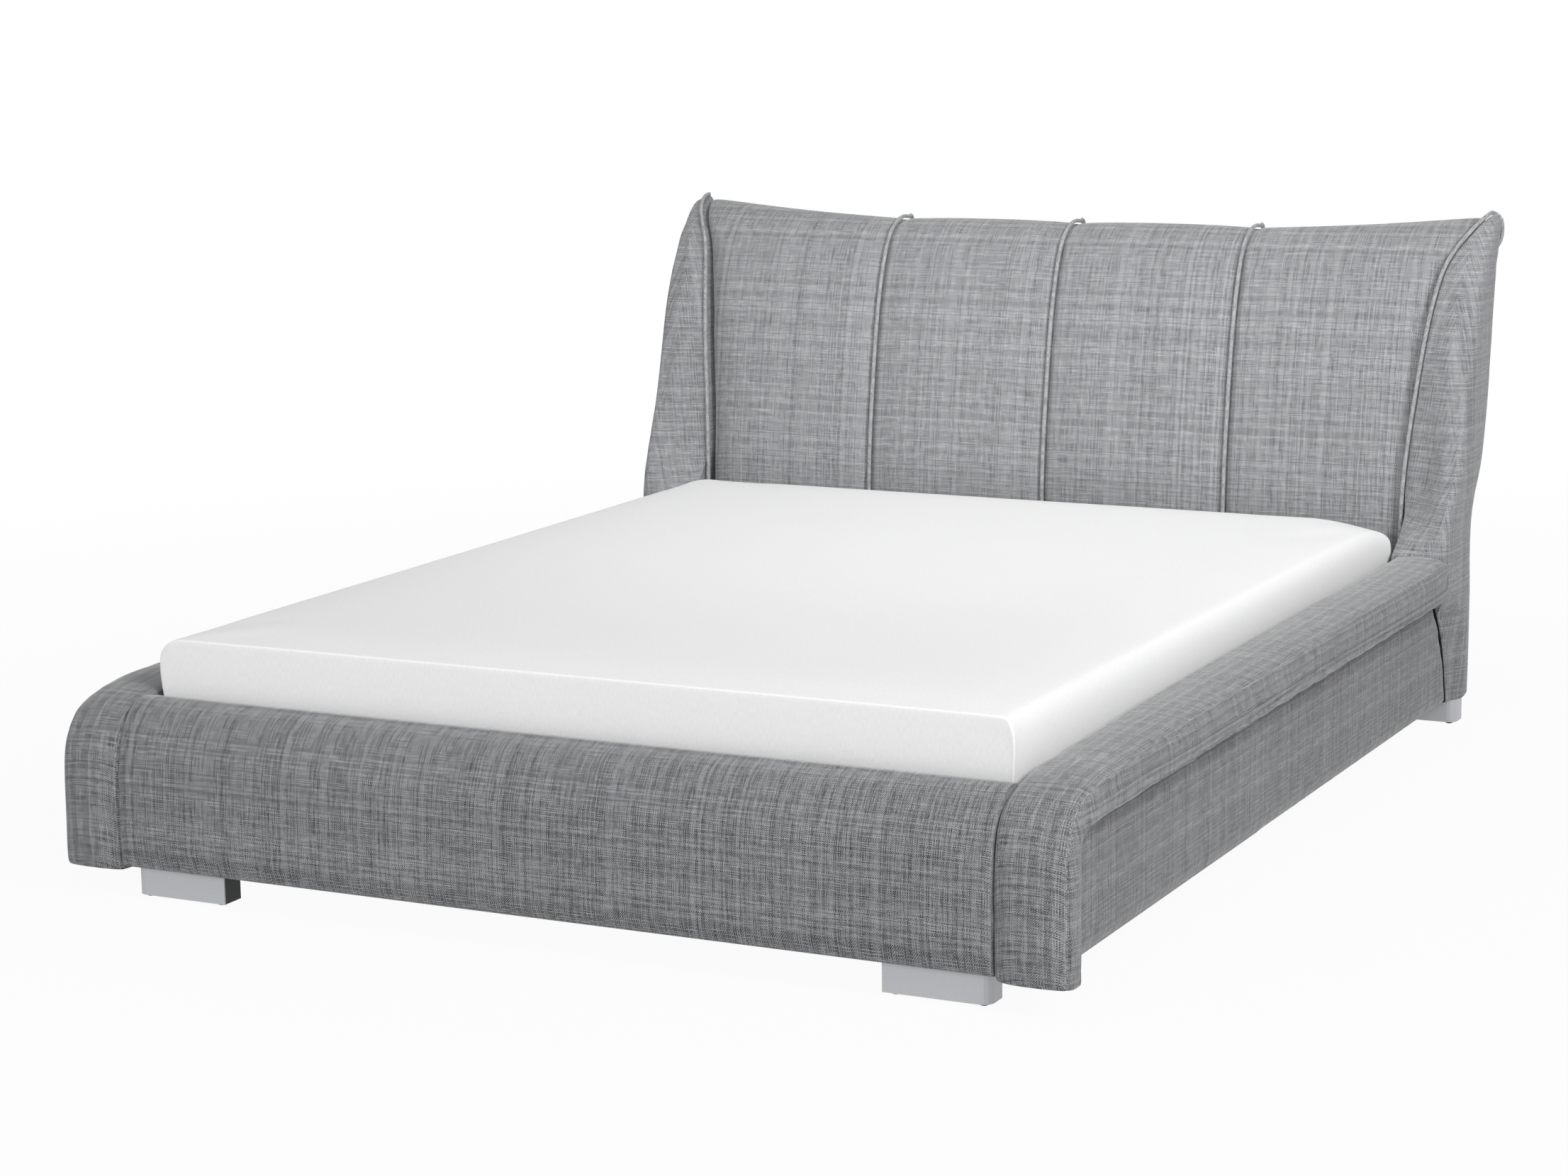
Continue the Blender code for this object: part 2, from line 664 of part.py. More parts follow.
def build_bladders():
    """Two water cores: flat vinyl bags with full, rounded edges and a well for the valve."""
    gap = CLEAR + LINER_WALL + BLADDER_ROOM
    height = WATER_TOP - WATER_BOTTOM
    for name, side in sides():
        near = DIVIDER_BASE / 2 + BLADDER_ROOM
        rings = []
        for share, inset_share in BLADDER_SHARES:
            z = WATER_BOTTOM + height * share
            inset = BLADDER_EDGE * inset_share
            far = core_half(HALF_WIDTH, min(z, WATER_BOTTOM + height / 2)) - gap - inset
            half_y = core_half(HALF_LENGTH, min(z, WATER_BOTTOM + height / 2)) - gap - inset
            half_x = (far - near - inset) / 2
            radius = BLADDER_CORNER - inset / 2
            rings.append(rounded_rectangle(side * (near + inset + half_x), half_x, half_y, radius, z))
        piece = add_piece("bladder_" + name, lofted(rings), "vinyl")
        shape = bmesh.new()
        place = valve_place(side)
        rod(shape, place, (place[0], place[1], WATER_TOP + OVERRUN), VALVE_WELL_RADIUS, 2 * ROUND_STEPS)
        combine(piece, "valve_well_" + name, shape)


def valve_place(side):
    """Middle of a valve well's floor."""
    return (side * VALVE_FROM_MIDDLE, -HALF_LENGTH + VALVE_FROM_FOOT, WATER_TOP - VALVE_WELL_DEPTH)


def build_valves():
    """Welded filling valves with their ribbed screw caps."""
    for name, side in sides():
        x, y, floor = valve_place(side)
        base = (x, y, floor + CLEAR)
        flange = VALVE_FLANGE_THICKNESS
        neck_top = flange + VALVE_NECK_HEIGHT
        profile = [(VALVE_BORE_RADIUS, 0), (VALVE_FLANGE_RADIUS, 0), (VALVE_FLANGE_RADIUS, flange),
                   (VALVE_NECK_RADIUS, flange), (VALVE_NECK_RADIUS, neck_top), (VALVE_BORE_RADIUS, neck_top)]
        add_piece("valve_" + name, turned(profile, base, 2 * ROUND_STEPS), "valve_plastic")
        inner = VALVE_NECK_RADIUS + SCREW_CLEAR
        outer = inner + CAP_WALL
        low = flange + SCREW_CLEAR
        under = neck_top + SCREW_CLEAR
        profile = [(0, under), (inner, under), (inner, low), (outer, low), (outer, under),
                   (outer - CAP_WALL / 2, under + CAP_TOP), (0, under + CAP_TOP)]
        cap = turned(profile, base, 2 * CAP_RIBS, CAP_RIB)
        add_piece("valve_cap_" + name, cap, "valve_plastic", axis=base)


# Legs
def leg_places():
    """Name, outer edge, front face, side and board line of each leg."""
    front_outer = PAD_INNER - LEG_FRONT_INSET
    rear_outer = WING_OUTER - LEG_REAR_INSET
    front = FOOT_FRONT + LEG_FRONT_SETBACK
    rear = HEAD_LOW_BACK - LEG_DEPTH
    foot_line = front + LEG_DEPTH - LEG_BOLT_SETBACK
    head_line = HEAD_BOARD_FRONT + HEAD_BOARD / 2
    for name, side in sides():
        yield "front_" + name, side * front_outer, front, side, foot_line
        yield "rear_" + name, side * rear_outer, rear, side, head_line


def leg_outline(outer, front, side):
    """Plan of an angle section with a round outer corner, walls of even thickness."""
    back = front + LEG_DEPTH
    inner_end = outer - side * LEG_WIDTH
    arcs = []
    for radius in (LEG_CORNER, LEG_CORNER - LEG_WALL):
        arc = []
        for step in range(CORNER_STEPS + 1):
            angle = pi / 2 * step / CORNER_STEPS
            arc.append((outer - side * (LEG_CORNER - radius * sin(angle)),
                        front + LEG_CORNER - radius * cos(angle)))
        arcs.append(arc)
    outside, inside = arcs
    return ([(inner_end, front)] + outside + [(outer, back), (outer - side * LEG_WALL, back)]
            + inside[::-1] + [(inner_end, front + LEG_WALL)])


def glide_places(outer, front, side):
    """Middles of a leg's two glides, one behind each end of its face."""
    edge = LEG_WALL + GLIDE_INSET
    return [(outer - side * distance, front + edge) for distance in (edge, LEG_WIDTH - edge)]


def build_legs():
    """Angle-section metal legs, each round a moulded block with domed glides, and their bolts."""
    low = GLIDE_HEIGHT
    high = low + LEG_HEIGHT
    for name, outer, front, side, line in leg_places():
        add_piece("leg_" + name, lofted(along_z(leg_outline(outer, front, side), low, high)), "leg_metal")

        gap = LEG_WALL + CLEAR
        chamfer = LEG_CORNER - LEG_WALL
        inner_end = outer - side * LEG_WIDTH
        back = front + LEG_DEPTH
        block_x = outer - side * gap
        block = [(inner_end, front + gap), (block_x - side * chamfer, front + gap),
                 (block_x, front + gap + chamfer), (block_x, back), (inner_end, back)]
        piece = add_piece("leg_block_" + name, lofted(along_z(block, low, high)), "block")
        glides = bmesh.new()
        for x, y in glide_places(outer, front, side):
            rings = []
            dome = [(GLIDE_RADIUS * share, GLIDE_HEIGHT * height) for share, height in GLIDE_DOME_SHARES]
            for radius, height in dome + [(GLIDE_RADIUS, GLIDE_HEIGHT + OVERRUN)]:
                rings.append([(x + radius * cos(2 * pi * step / ROUND_STEPS),
                               y + radius * sin(2 * pi * step / ROUND_STEPS), height)
                              for step in range(ROUND_STEPS)])
            loft(glides, rings)
        combine(piece, "glides_" + name, glides, "UNION")

        seat = (outer - side * LEG_WIDTH / 2, line, low + LEG_BOLT_HEAD_HEIGHT + CLEAR)
        tools = bmesh.new()
        bolt(tools, Vector(seat) + Vector((0, 0, CLEAR)), (0, 0, 1), LEG_BOLT_HEAD_RADIUS + SCREW_CLEAR,
             LEG_BOLT_HEAD_HEIGHT + OVERRUN, LEG_BOLT_RADIUS + CLEAR, LEG_HEIGHT + OVERRUN)
        combine(piece, "bolt_way_" + name, tools)
        shape = bmesh.new()
        bolt(shape, seat, (0, 0, 1), LEG_BOLT_HEAD_RADIUS, LEG_BOLT_HEAD_HEIGHT, LEG_BOLT_RADIUS,
             LEG_HEIGHT - LEG_BOLT_HEAD_HEIGHT + LEG_BOLT_GRIP)
        add_piece("leg_bolt_" + name, shape, "steel")


def leg_bolt_ways(rear):
    """Bores for the leg bolts in the foot board or the headboard's board."""
    tools = bmesh.new()
    for name, outer, front, side, line in leg_places():
        if name.startswith("rear") != rear:
            continue
        x = outer - side * LEG_WIDTH / 2
        top = FRAME_BOTTOM + LEG_BOLT_GRIP + OVERRUN
        rod(tools, (x, line, FRAME_BOTTOM - OVERRUN), (x, line, top), LEG_BOLT_RADIUS + CLEAR)
    return tools


# Foot end
def build_foot():
    """Foot board, and the foot panel's padding that rolls over its top edge."""
    reach = PAD_INNER - CLEAR
    board_front = FOOT_BOARD_BACK - FOOT_BOARD
    rings = along_x(rectangle(board_front, FRAME_BOTTOM, FOOT_BOARD_BACK, FOOT_BOARD_TOP), -reach, reach)
    board = add_piece("foot_board", lofted(rings), "wood", smooth=False)
    combine(board, "foot_leg_bores", leg_bolt_ways(False))
    combine(board, "foot_bracket_bores", bracket_bores("foot", True))
    outline = [(FOOT_FRONT + FOOT_DEPTH * depth, FRAME_BOTTOM + FOOT_HEIGHT * height)
               for depth, height in FOOT_FRONT_SHARES]
    hook = FOOT_BOARD_TOP + CLEAR
    outline += [(FOOT_BACK, hook), (board_front - CLEAR, hook), (board_front - CLEAR, FRAME_BOTTOM)]
    add_piece("foot_panel", lofted(along_x(outline, -reach, reach)), "frame_fabric")


# Side rails
def rail_top(y):
    """Height of the seat between a rail and its pad."""
    share = (y - CAP_BACK) / (PAD_REAR - CAP_BACK)
    return FRAME_BOTTOM + blend(RAIL_HEIGHT_FRONT, RAIL_HEIGHT_REAR, share)


def slot_line(shift):
    """Curved rear end of the rails, bottom to top, moved towards the foot by shift."""
    points = []
    for height, depth in SLOT_SHARES:
        y = SLOT_TOP + SLOT_SWEEP * depth - shift
        points.append((y, FRAME_BOTTOM + RAIL_HEIGHT_REAR * height))
    return points


def inner_bend(gap):
    """Quarter round under the pad's bend, from upright to level, drawn in by a gap."""
    centre_y = CAP_BACK + CAP_INNER_RADIUS
    centre_z = rail_top(centre_y) - CAP_INNER_RADIUS
    radius = CAP_INNER_RADIUS - gap
    count = len(CAP_BEND_SHARES) - 1
    points = []
    for k in range(count + 1):
        angle = pi / 2 * k / count
        points.append((centre_y - radius * cos(angle), centre_z + radius * sin(angle)))
    return points


def build_rails():
    """Padded side rails with the bare boards behind them."""
    front = CAP_BACK + CLEAR
    for name, side in sides():
        for piece_name, inner, outer, shift, finish in (
                ("side_rail_", RAIL_INNER, RAIL_OUTER, SLOT_WIDTH, "frame_fabric"),
                ("rail_board_", RAIL_BOARD_INNER, RAIL_BOARD_INNER + RAIL_BOARD, CLEAR, "wood")):
            curve = slot_line(shift)
            outline = [(front, FRAME_BOTTOM)] + curve[:-1]
            outline += [(curve[-1][0], rail_top(curve[-1][0]) - CLEAR)] + inner_bend(CLEAR)[::-1]
            low, high = sorted((side * inner, side * outer))
            piece = add_piece(piece_name + name, lofted(along_x(outline, low, high)), finish, smooth=False)
            if finish == "wood":
                combine(piece, "rail_foot_bores_" + name, bracket_bores("foot", False, side))
                combine(piece, "rail_head_bores_" + name, bracket_bores("head", False, side))
            else:
                soften(piece, RAIL_EDGE)


def pad_stations():
    """Pairs of a point on the pad's outside curve and one on its underside, front to rear."""
    bottom = FRAME_BOTTOM - CAP_DROP
    bend_end = FOOT_FRONT + CAP_BEND_LENGTH
    bend_top = rail_top(bend_end) + PAD_THICKNESS_FRONT
    bend_low = bend_top - CAP_BEND_HEIGHT
    yield (FOOT_FRONT + CAP_FOOT_EDGE, bottom), (CAP_BACK - CAP_FOOT_EDGE, bottom)
    yield (FOOT_FRONT, bottom + CAP_FOOT_EDGE), (CAP_BACK, bottom + CAP_FOOT_EDGE)
    for (depth, height), inner in zip(CAP_BEND_SHARES, inner_bend(0)):
        yield (FOOT_FRONT + CAP_BEND_LENGTH * depth, bend_low + CAP_BEND_HEIGHT * height), inner
    for share, thick_share in PAD_RUN_SHARES:
        y = blend(bend_end, PAD_REAR, share)
        thick = blend(PAD_THICKNESS_FRONT, PAD_THICKNESS_REAR, thick_share)
        yield (y, rail_top(y) + thick), (y, rail_top(y))


def build_rail_pads():
    """Pads that lie along the rails and curve down over the bed's front corners."""
    for name, side in sides():
        rings = []
        for outer, inner in pad_stations():
            outer = Vector(outer)
            inner = Vector(inner)
            depth = (inner - outer).length
            way = (inner - outer) / depth
            soft = min(PAD_OUTER_EDGE, depth / 2)
            section = [(PAD_INNER, depth), (PAD_INNER, PAD_INNER_EDGE)]
            section += [(PAD_INNER + PAD_INNER_EDGE, 0), ((PAD_INNER + PAD_OUTER) / 2, -PAD_CROWN)]
            for step in range(CORNER_STEPS + 1):
                angle = pi / 2 * step / CORNER_STEPS
                section.append((PAD_OUTER - soft * (1 - sin(angle)), soft * (1 - cos(angle))))
            section.append((PAD_OUTER, depth - PAD_INNER_EDGE))
            section.append((PAD_OUTER - PAD_INNER_EDGE, depth))
            rings.append([(side * x, *(outer + way * down)) for x, down in section])
        add_piece("rail_pad_" + name, lofted(rings), "frame_fabric")


# Headboard
def head_place(share):
    """Place on Y of a share of the headboard's depth."""
    return HEAD_FRONT + HEAD_DEPTH * share


def head_height(share):
    """Height of a share of the headboard."""
    return FRAME_BOTTOM + HEAD_HEIGHT * share


def tip_lift(height_share, out_share):
    """Rise of the top edge towards the corners."""
    return HEAD_TIP_RISE * height_share ** HEAD_TIP_POWER * out_share ** 2


def side_forward(height_share, out_share):
    """How far the front comes forward at the sides; at the top it flares back instead."""
    return HEAD_SIDE_FORWARD * (1 - 2 * height_share ** HEAD_FLARE_POWER) * out_share ** 2


def seam_half(seam_share):
    """Half width of the headboard's front at a seam share."""
    return blend(HALF_WIDTH, HEAD_TIP, seam_share)


def seam_at(z):
    """Half width at which the outer seam stands at a height."""
    rows = [(row[0], row[-1]) for row in HEAD_SECTION_SHARES] + [(1.0, HEAD_TOP_SEAM_SHARE)]
    rows = [(head_height(height) + tip_lift(height, 1.0), seam) for height, seam in rows]
    for (low, low_seam), (high, high_seam) in zip(rows, rows[1:]):
        if z <= high:
            break
    return seam_half(blend(low_seam, high_seam, (z - low) / (high - low)))


def pad_rows():
    """Rows of the headboard's pad: height share and place of its front and of its rear."""
    rows = []
    for height, front, board, back, seam in HEAD_SECTION_SHARES[HEAD_PAD_FIRST_ROW:]:
        rows.append((height, head_place(front), height, head_place(board) - CLEAR))
    for height, front, rear_height, rear in HEAD_ROLL_SHARES:
        rows.append((height, head_place(front), rear_height, head_place(rear)))
    return rows


def channel_shares():
    """Share across the half pad, and share of the crown, at each station from the middle."""
    stations = []
    for channel in range(2):
        for step in range(HEAD_CHANNEL_STEPS + 1):
            if channel and not step:
                continue
            stations.append((channel, step / HEAD_CHANNEL_STEPS))
    return stations


def pad_point(row, channel, share, crowned):
    """Point on the pad's front, or on its rear, for a row and a station."""
    height, front, rear_height, rear = row
    level = height if crowned else rear_height
    out_share = share if channel else 0
    z = head_height(level) + tip_lift(level, out_share)
    half = seam_at(head_height(level) + tip_lift(level, 1.0)) - HEAD_SEAM_GAP / 2
    x = blend(HEAD_SEAM_SPREAD, half, share) if channel else HEAD_SEAM_SPREAD * share
    if not crowned:
        return (x, rear, z)
    fullness = sin(pi * share) ** HEAD_CROWN_FULLNESS
    upward = height ** HEAD_CROWN_TURN
    forward = side_forward(height, out_share) + HEAD_CROWN * fullness * (1 - upward)
    return (x, front - forward, z + HEAD_TOP_CROWN * fullness * upward)


def between(front, rear):
    """Closed solid between two grids of points with as many rows and columns."""
    shape = bmesh.new()
    grids = [[[shape.verts.new(point) for point in row] for row in grid] for grid in (front, rear)]
    rows = len(front)
    columns = len(front[0])
    for grid in grids:
        for low, high in zip(grid, grid[1:]):
            for k in range(columns - 1):
                shape.faces.new((low[k], low[k + 1], high[k + 1], high[k]))
    near, far = grids
    for row in (0, -1):
        for k in range(columns - 1):
            shape.faces.new((near[row][k], near[row][k + 1], far[row][k + 1], far[row][k]))
    for end in (0, -1):
        for k in range(rows - 1):
            shape.faces.new((near[k][end], near[k + 1][end], far[k + 1][end], far[k][end]))
    return shape


def both_halves(stations, place):
    """Rows of points from the left edge to the right one."""
    half = [place(channel, share) for channel, share in stations]
    return [(-x, y, z) for x, y, z in half[:0:-1]] + half


def build_headboard_pad():
    """Front padding of the headboard with four upright crowned channels."""
    stations = channel_shares()
    grids = []
    for crowned in (True, False):
        grid = []
        for row in pad_rows():
            grid.append(both_halves(stations, lambda *place: pad_point(row, *place, crowned)))
        grids.append(grid)
    add_piece("headboard_pad", between(*grids), "frame_fabric")


def seam_path(channel, share):
    """Path of a piping cord that lies on a seam of the pad, from the bottom over the top edge."""
    rows = pad_rows()
    if channel:
        rows = rows[:-1]
    points = [Vector(pad_point(row, channel, share, True)) for row in rows]
    lift = PIPING_RADIUS + CLEAR
    path = []
    for k, point in enumerate(points):
        run = points[min(k + 1, len(points) - 1)] - points[max(k - 1, 0)]
        path.append(point + Vector((0, -run.z, run.y)).normalized() * lift)
    if channel:
        path[-1].z = points[-1].z + lift
    tail = Vector((0, 1, 0)) if channel else (path[-1] - path[-2]).normalized()
    path.append(path[-1] + tail * PIPING_TAIL)
    return path


def mirrored(path):
    """The same path on the other side of the bed."""
    return [Vector((-point.x, point.y, point.z)) for point in path]


def build_piping():
    """Piping cords on the seams of the headboard."""
    tube("headboard_piping_middle", seam_path(0, 0.0), PIPING_RADIUS, "piping_fabric")
    for name, path in (("inner", seam_path(0, 1.0)), ("outer", seam_path(1, 1.0))):
        tube("headboard_piping_" + name + "_left", mirrored(path), PIPING_RADIUS, "piping_fabric")
        tube("headboard_piping_" + name + "_right", path, PIPING_RADIUS, "piping_fabric")


def core_half_width(z, step):
    """Half width of the headboard's board and back pad: wider below the rails' top."""
    return RAIL_BOARD_INNER - CLEAR if z <= step else seam_at(z) - HEAD_SEAM_GAP


def section_rows(step):
    """The headboard's section rows in metres, with a step in width put in at a height."""
    rows = []
    for height, front, board, back, seam in HEAD_SECTION_SHARES:
        rows.append((head_height(height), head_place(board), head_place(back)))
    low = next(k for k, row in enumerate(rows) if row[0] > step)
    for z in (step + HEAD_STEP, step):
        share = (z - rows[low - 1][0]) / (rows[low][0] - rows[low - 1][0])
        rows.insert(low, (z, blend(rows[low - 1][1], rows[low][1], share),
                          blend(rows[low - 1][2], rows[low][2], share)))
    return rows


def back_line(half):
    """Places on X across the back pad, each with its share of the way from inner seam to side."""
    shares = [count / HEAD_BACK_STEPS for count in range(HEAD_BACK_STEPS + 1)]
    line = [(blend(HEAD_SEAM_SPREAD, half, share), share) for share in shares]
    return [(-x, share) for x, share in line[::-1]] + line


def build_headboard_core():
    """Bent board of the headboard, and the padding behind it with a flat lower back."""
    step = rail_top(PAD_REAR) - 2 * HEAD_STEP
    rows = section_rows(step)
    board = []
    for z, place, rear in rows:
        half = core_half_width(z, step)
        behind = place + HEAD_BOARD
        board.append([(-half, place, z), (half, place, z), (half, behind, z), (-half, behind, z)])
    piece = add_piece("headboard_board", lofted(board), "wood")
    combine(piece, "head_leg_bores", leg_bolt_ways(True))
    combine(piece, "head_bracket_bores", bracket_bores("head", True))

    front = []
    back = []
    for z, place, rear in rows:
        line = back_line(core_half_width(z, step))
        front.append([(x, place + HEAD_BOARD + CLEAR, z) for x, share in line])
        back.append([(x, rear, z) for x, share in line])
    last_z, last_near, last_rear = z, front[-1][0][1], rear
    top_height, top_place = HEAD_ROLL_SHARES[-1][2:]
    top_z = head_height(top_height) - HEAD_STEP
    for height, level in ((HEAD_SECTION_SHARES[-1][0], last_z + HEAD_STEP), (top_height, top_z)):
        near_row = []
        rear_row = []
        for x, share in back_line(core_half_width(level + tip_lift(height, 1.0), step)):
            z = level + tip_lift(height, share)
            risen = (z - last_z) / (top_z + tip_lift(top_height, share) - last_z)
            near_row.append((x, blend(last_near, head_place(top_place), risen), z))
            rear_row.append((x, blend(last_rear, head_place(HEAD_BACK_TOP_SHARE), risen), z))
        front.append(near_row)
        back.append(rear_row)
    add_piece("headboard_back_pad", between(front, back), "frame_fabric")


def wing_levels():
    """Rows of a wing, bottom to top: height, inner edge, three places along the front, back, crown."""
    levels = []
    step = rail_top(PAD_REAR)
    for y, z in slot_line(0):
        levels.append((min(z, step), RAIL_BOARD_INNER, y, y, y, HEAD_LOW_BACK, 0))
    toe = PAD_REAR + CLEAR
    low_inner = HALF_WIDTH + WING_ROOM
    levels.append((step + HEAD_STEP, low_inner, toe, toe, toe, HEAD_LOW_BACK, 0))
    seam_height, seam_front = HEAD_SECTION_SHARES[3][:2]
    seam_z = head_height(seam_height)
    seam_y = head_place(seam_front) - HEAD_SIDE_FORWARD
    pad_top = step + PAD_THICKNESS_REAR
    outer_y = head_place(WING_FRONT_SHARES[0])
    for height, outer, inner, fold, crown in WING_LOW_SHARES:
        z = blend(pad_top, seam_z, height)
        front = blend(toe, outer_y, outer)
        inner_y = blend(toe, seam_y, inner)
        levels.append((z, low_inner, inner_y, blend(inner_y, front, fold), front, HEAD_LOW_BACK, crown))
    rows = [(height, front, back) for height, front, board, back, seam in HEAD_SECTION_SHARES[3:]]
    last_back = rows[-1][2]
    count = len(HEAD_ROLL_SHARES) - 1
    for k, (height, front, rear_height, rear) in enumerate(HEAD_ROLL_SHARES[:-1]):
        rows.append((height, front, blend(last_back, 1.0, (k + 1) / count)))
    for (height, front, back), front_share, fold in zip(rows, WING_FRONT_SHARES, WING_FOLD_SHARES):
        z = head_height(height) + tip_lift(height, 1.0)
        inner_y = head_place(front) - side_forward(height, 1.0)
        front_y = head_place(front_share)
        inner = seam_at(z) + HEAD_SEAM_GAP / 2
        levels.append((z, inner, inner_y, blend(inner_y, front_y, fold), front_y, head_place(back), 1))
    return levels


def build_wings():
    """Side cheeks of the headboard, which sweep forward onto the rail pads."""
    for name, side in sides():
        rings = []
        for z, inner, inner_y, fold_y, front_y, back_y, crown_share in wing_levels():
            outer = max(WING_OUTER, inner + WING_BACK_EDGE)
            fold_x = blend(inner, outer, WING_SEAM_SHARE)
            edge = min(WING_EDGE, (outer - fold_x) * WING_EDGE_SHARE)
            back_edge = min(WING_BACK_EDGE, (outer - inner) * WING_EDGE_SHARE)
            middle_x = (fold_x + outer - edge) / 2
            middle_y = (fold_y + front_y) / 2
            crown = min(WING_CROWN, (outer - inner) * WING_CROWN_SHARE)
            crest = middle_y - crown * crown_share
            ring = [(inner, back_y), (inner, inner_y), (fold_x, fold_y), (middle_x, crest)]
            for step in range(CORNER_STEPS):
                angle = pi / 2 * step / (CORNER_STEPS - 1)
                ring.append((outer - edge * (1 - sin(angle)), front_y + edge * (1 - cos(angle))))
            ring += [(outer, back_y - back_edge), (outer - back_edge, back_y)]
            rings.append([(side * x, y, z) for x, y in ring])
        add_piece("headboard_wing_" + name, lofted(rings), "frame_fabric")


# Corner brackets
def bracket_corner(end):
    """Inside corner that a bracket sits in, and the way from it along the bed."""
    if end == "foot":
        return FOOT_BOARD_BACK + CLEAR, 1
    return HEAD_BOARD_FRONT - CLEAR, -1


def bracket_bolt_places(end, side):
    """Seats of a bracket's two bolts: one into the cross board, one into the rail board."""
    corner_y, way = bracket_corner(end)
    corner_x = RAIL_BOARD_INNER - CLEAR
    z = FRAME_BOTTOM + BRACKET_RAISE + BRACKET_HEIGHT / 2
    reach = BRACKET_ARM * BRACKET_BOLT_SHARE
    across = (side * (corner_x - reach), corner_y + way * BRACKET_STEEL, z)
    along = (side * (corner_x - BRACKET_STEEL), corner_y + way * rail_reach(end), z)
    return (across, (0, -way, 0)), (along, (side, 0, 0))


def rail_arm(end):
    """Length of a bracket's arm along the rail board, which has to reach past the wing's slot."""
    if end == "foot":
        return BRACKET_ARM
    return HEAD_BOARD_FRONT - SLOT_TOP - SLOT_SWEEP + BRACKET_ARM


def rail_reach(end):
    """Distance from the corner to the bolt into the rail board."""
    return rail_arm(end) - BRACKET_ARM * (1 - BRACKET_BOLT_SHARE)


def bracket_bores(end, into_cross, only_side=None):
    """Blind bores for the bracket bolts."""
    tools = bmesh.new()
    for name, side in sides():
        if only_side and side != only_side:
            continue
        across, along = bracket_bolt_places(end, side)
        seat, way = across if into_cross else along
        start = Vector(seat)
        depth = BRACKET_STEEL + BRACKET_BOLT_GRIP + CLEAR
        rod(tools, start, start + Vector(way) * depth, BRACKET_BOLT_RADIUS + CLEAR)
    return tools


def build_brackets():
    """Steel angles that join the boards at the four corners, each with its two bolts."""
    for end in ("foot", "head"):
        corner_y, way = bracket_corner(end)
        low = FRAME_BOTTOM + BRACKET_RAISE
        for name, side in sides():
            corner_x = RAIL_BOARD_INNER - CLEAR
            outline = [(0, 0), (BRACKET_ARM, 0), (BRACKET_ARM, BRACKET_STEEL),
                       (BRACKET_STEEL, BRACKET_STEEL), (BRACKET_STEEL, rail_arm(end)), (0, rail_arm(end))]
            places = [(side * (corner_x - x), corner_y + way * y) for x, y in outline]
            shape = lofted(along_z(places, low, low + BRACKET_HEIGHT))
            piece = add_piece("corner_bracket_" + end + "_" + name, shape, "steel")
            bolts = bmesh.new()
            for seat, into in bracket_bolt_places(end, side):
                bolt(bolts, seat, into, BRACKET_BOLT_HEAD_RADIUS, BRACKET_BOLT_HEAD_HEIGHT,
                     BRACKET_BOLT_RADIUS, BRACKET_STEEL + BRACKET_BOLT_GRIP)
            combine(piece, "bracket_bolts_" + end + "_" + name, bolts, "UNION")


def main():
    """Build every piece of the bed."""
    build_pedestal()
    build_deck()
    build_cover_base()
    build_cover_top()
    build_zip()
    build_foam_frame()
    build_liner()
    build_heaters()
    build_divider()
    build_bladders()
    build_valves()
    build_legs()
    build_foot()
    build_rails()
    build_rail_pads()
    build_headboard_pad()
    build_piping()
    build_headboard_core()
    build_wings()
    build_brackets()


clear_scene()
FINISHES = {
    "frame_fabric": make_material("frame_fabric", (0.250, 0.258, 0.268), 0.95),
    "piping_fabric": make_material("piping_fabric", (0.300, 0.308, 0.320), 0.95),
    "cover_top": make_material("cover_top", (0.870, 0.870, 0.870), 0.90),
    "cover_base": make_material("cover_base", (0.780, 0.780, 0.780), 0.90),
    "zip_metal": make_material("zip_metal", (0.620, 0.620, 0.620), 0.30, 1.0),
    "foam": make_material("foam", (0.760, 0.720, 0.520), 0.98),
    "vinyl": make_material("vinyl", (0.120, 0.260, 0.520), 0.35),
    "vinyl_liner": make_material("vinyl_liner", (0.035, 0.040, 0.045), 0.45),
    "heater": make_material("heater", (0.100, 0.100, 0.110), 0.50),
    "valve_plastic": make_material("valve_plastic", (0.850, 0.850, 0.830), 0.40),
    "chipboard": make_material("chipboard", (0.120, 0.120, 0.120), 0.80),
    "wood": make_material("wood", (0.520, 0.400, 0.260), 0.75),
    "leg_metal": make_material("leg_metal", (0.560, 0.570, 0.580), 0.35, 0.9),
    "block": make_material("block", (0.020, 0.020, 0.022), 0.60),
    "steel": make_material("steel", (0.420, 0.420, 0.430), 0.40, 1.0),
}
BED = bpy.data.objects.new("bed_middle", None)
BED.location = (0, -BED_MIDDLE, 0)
bpy.context.scene.collection.objects.link(BED)
main()
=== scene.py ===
"""Looks of a softside waterbed in an upholstered frame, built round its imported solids.

Metres, +Z up, foot end towards -Y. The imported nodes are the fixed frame. Padded covers start as a
copy of their solid's mesh, and the mattress's cover as blocks of its solids' size. They are cut
into cells, rounded, blown up in a cloth simulation that a limit holds back, and smoothed, and the
weave is laid on them in real metres. The mattress's tray, foam, liner and cords are shaped without
a simulation. Hard pieces keep their solids.
"""
import json
import logging
import math
from collections.abc import Callable, Iterator, Sequence
from contextlib import contextmanager
from dataclasses import dataclass
from enum import Enum

import bmesh
import bpy
from mathutils import Matrix, Vector, noise

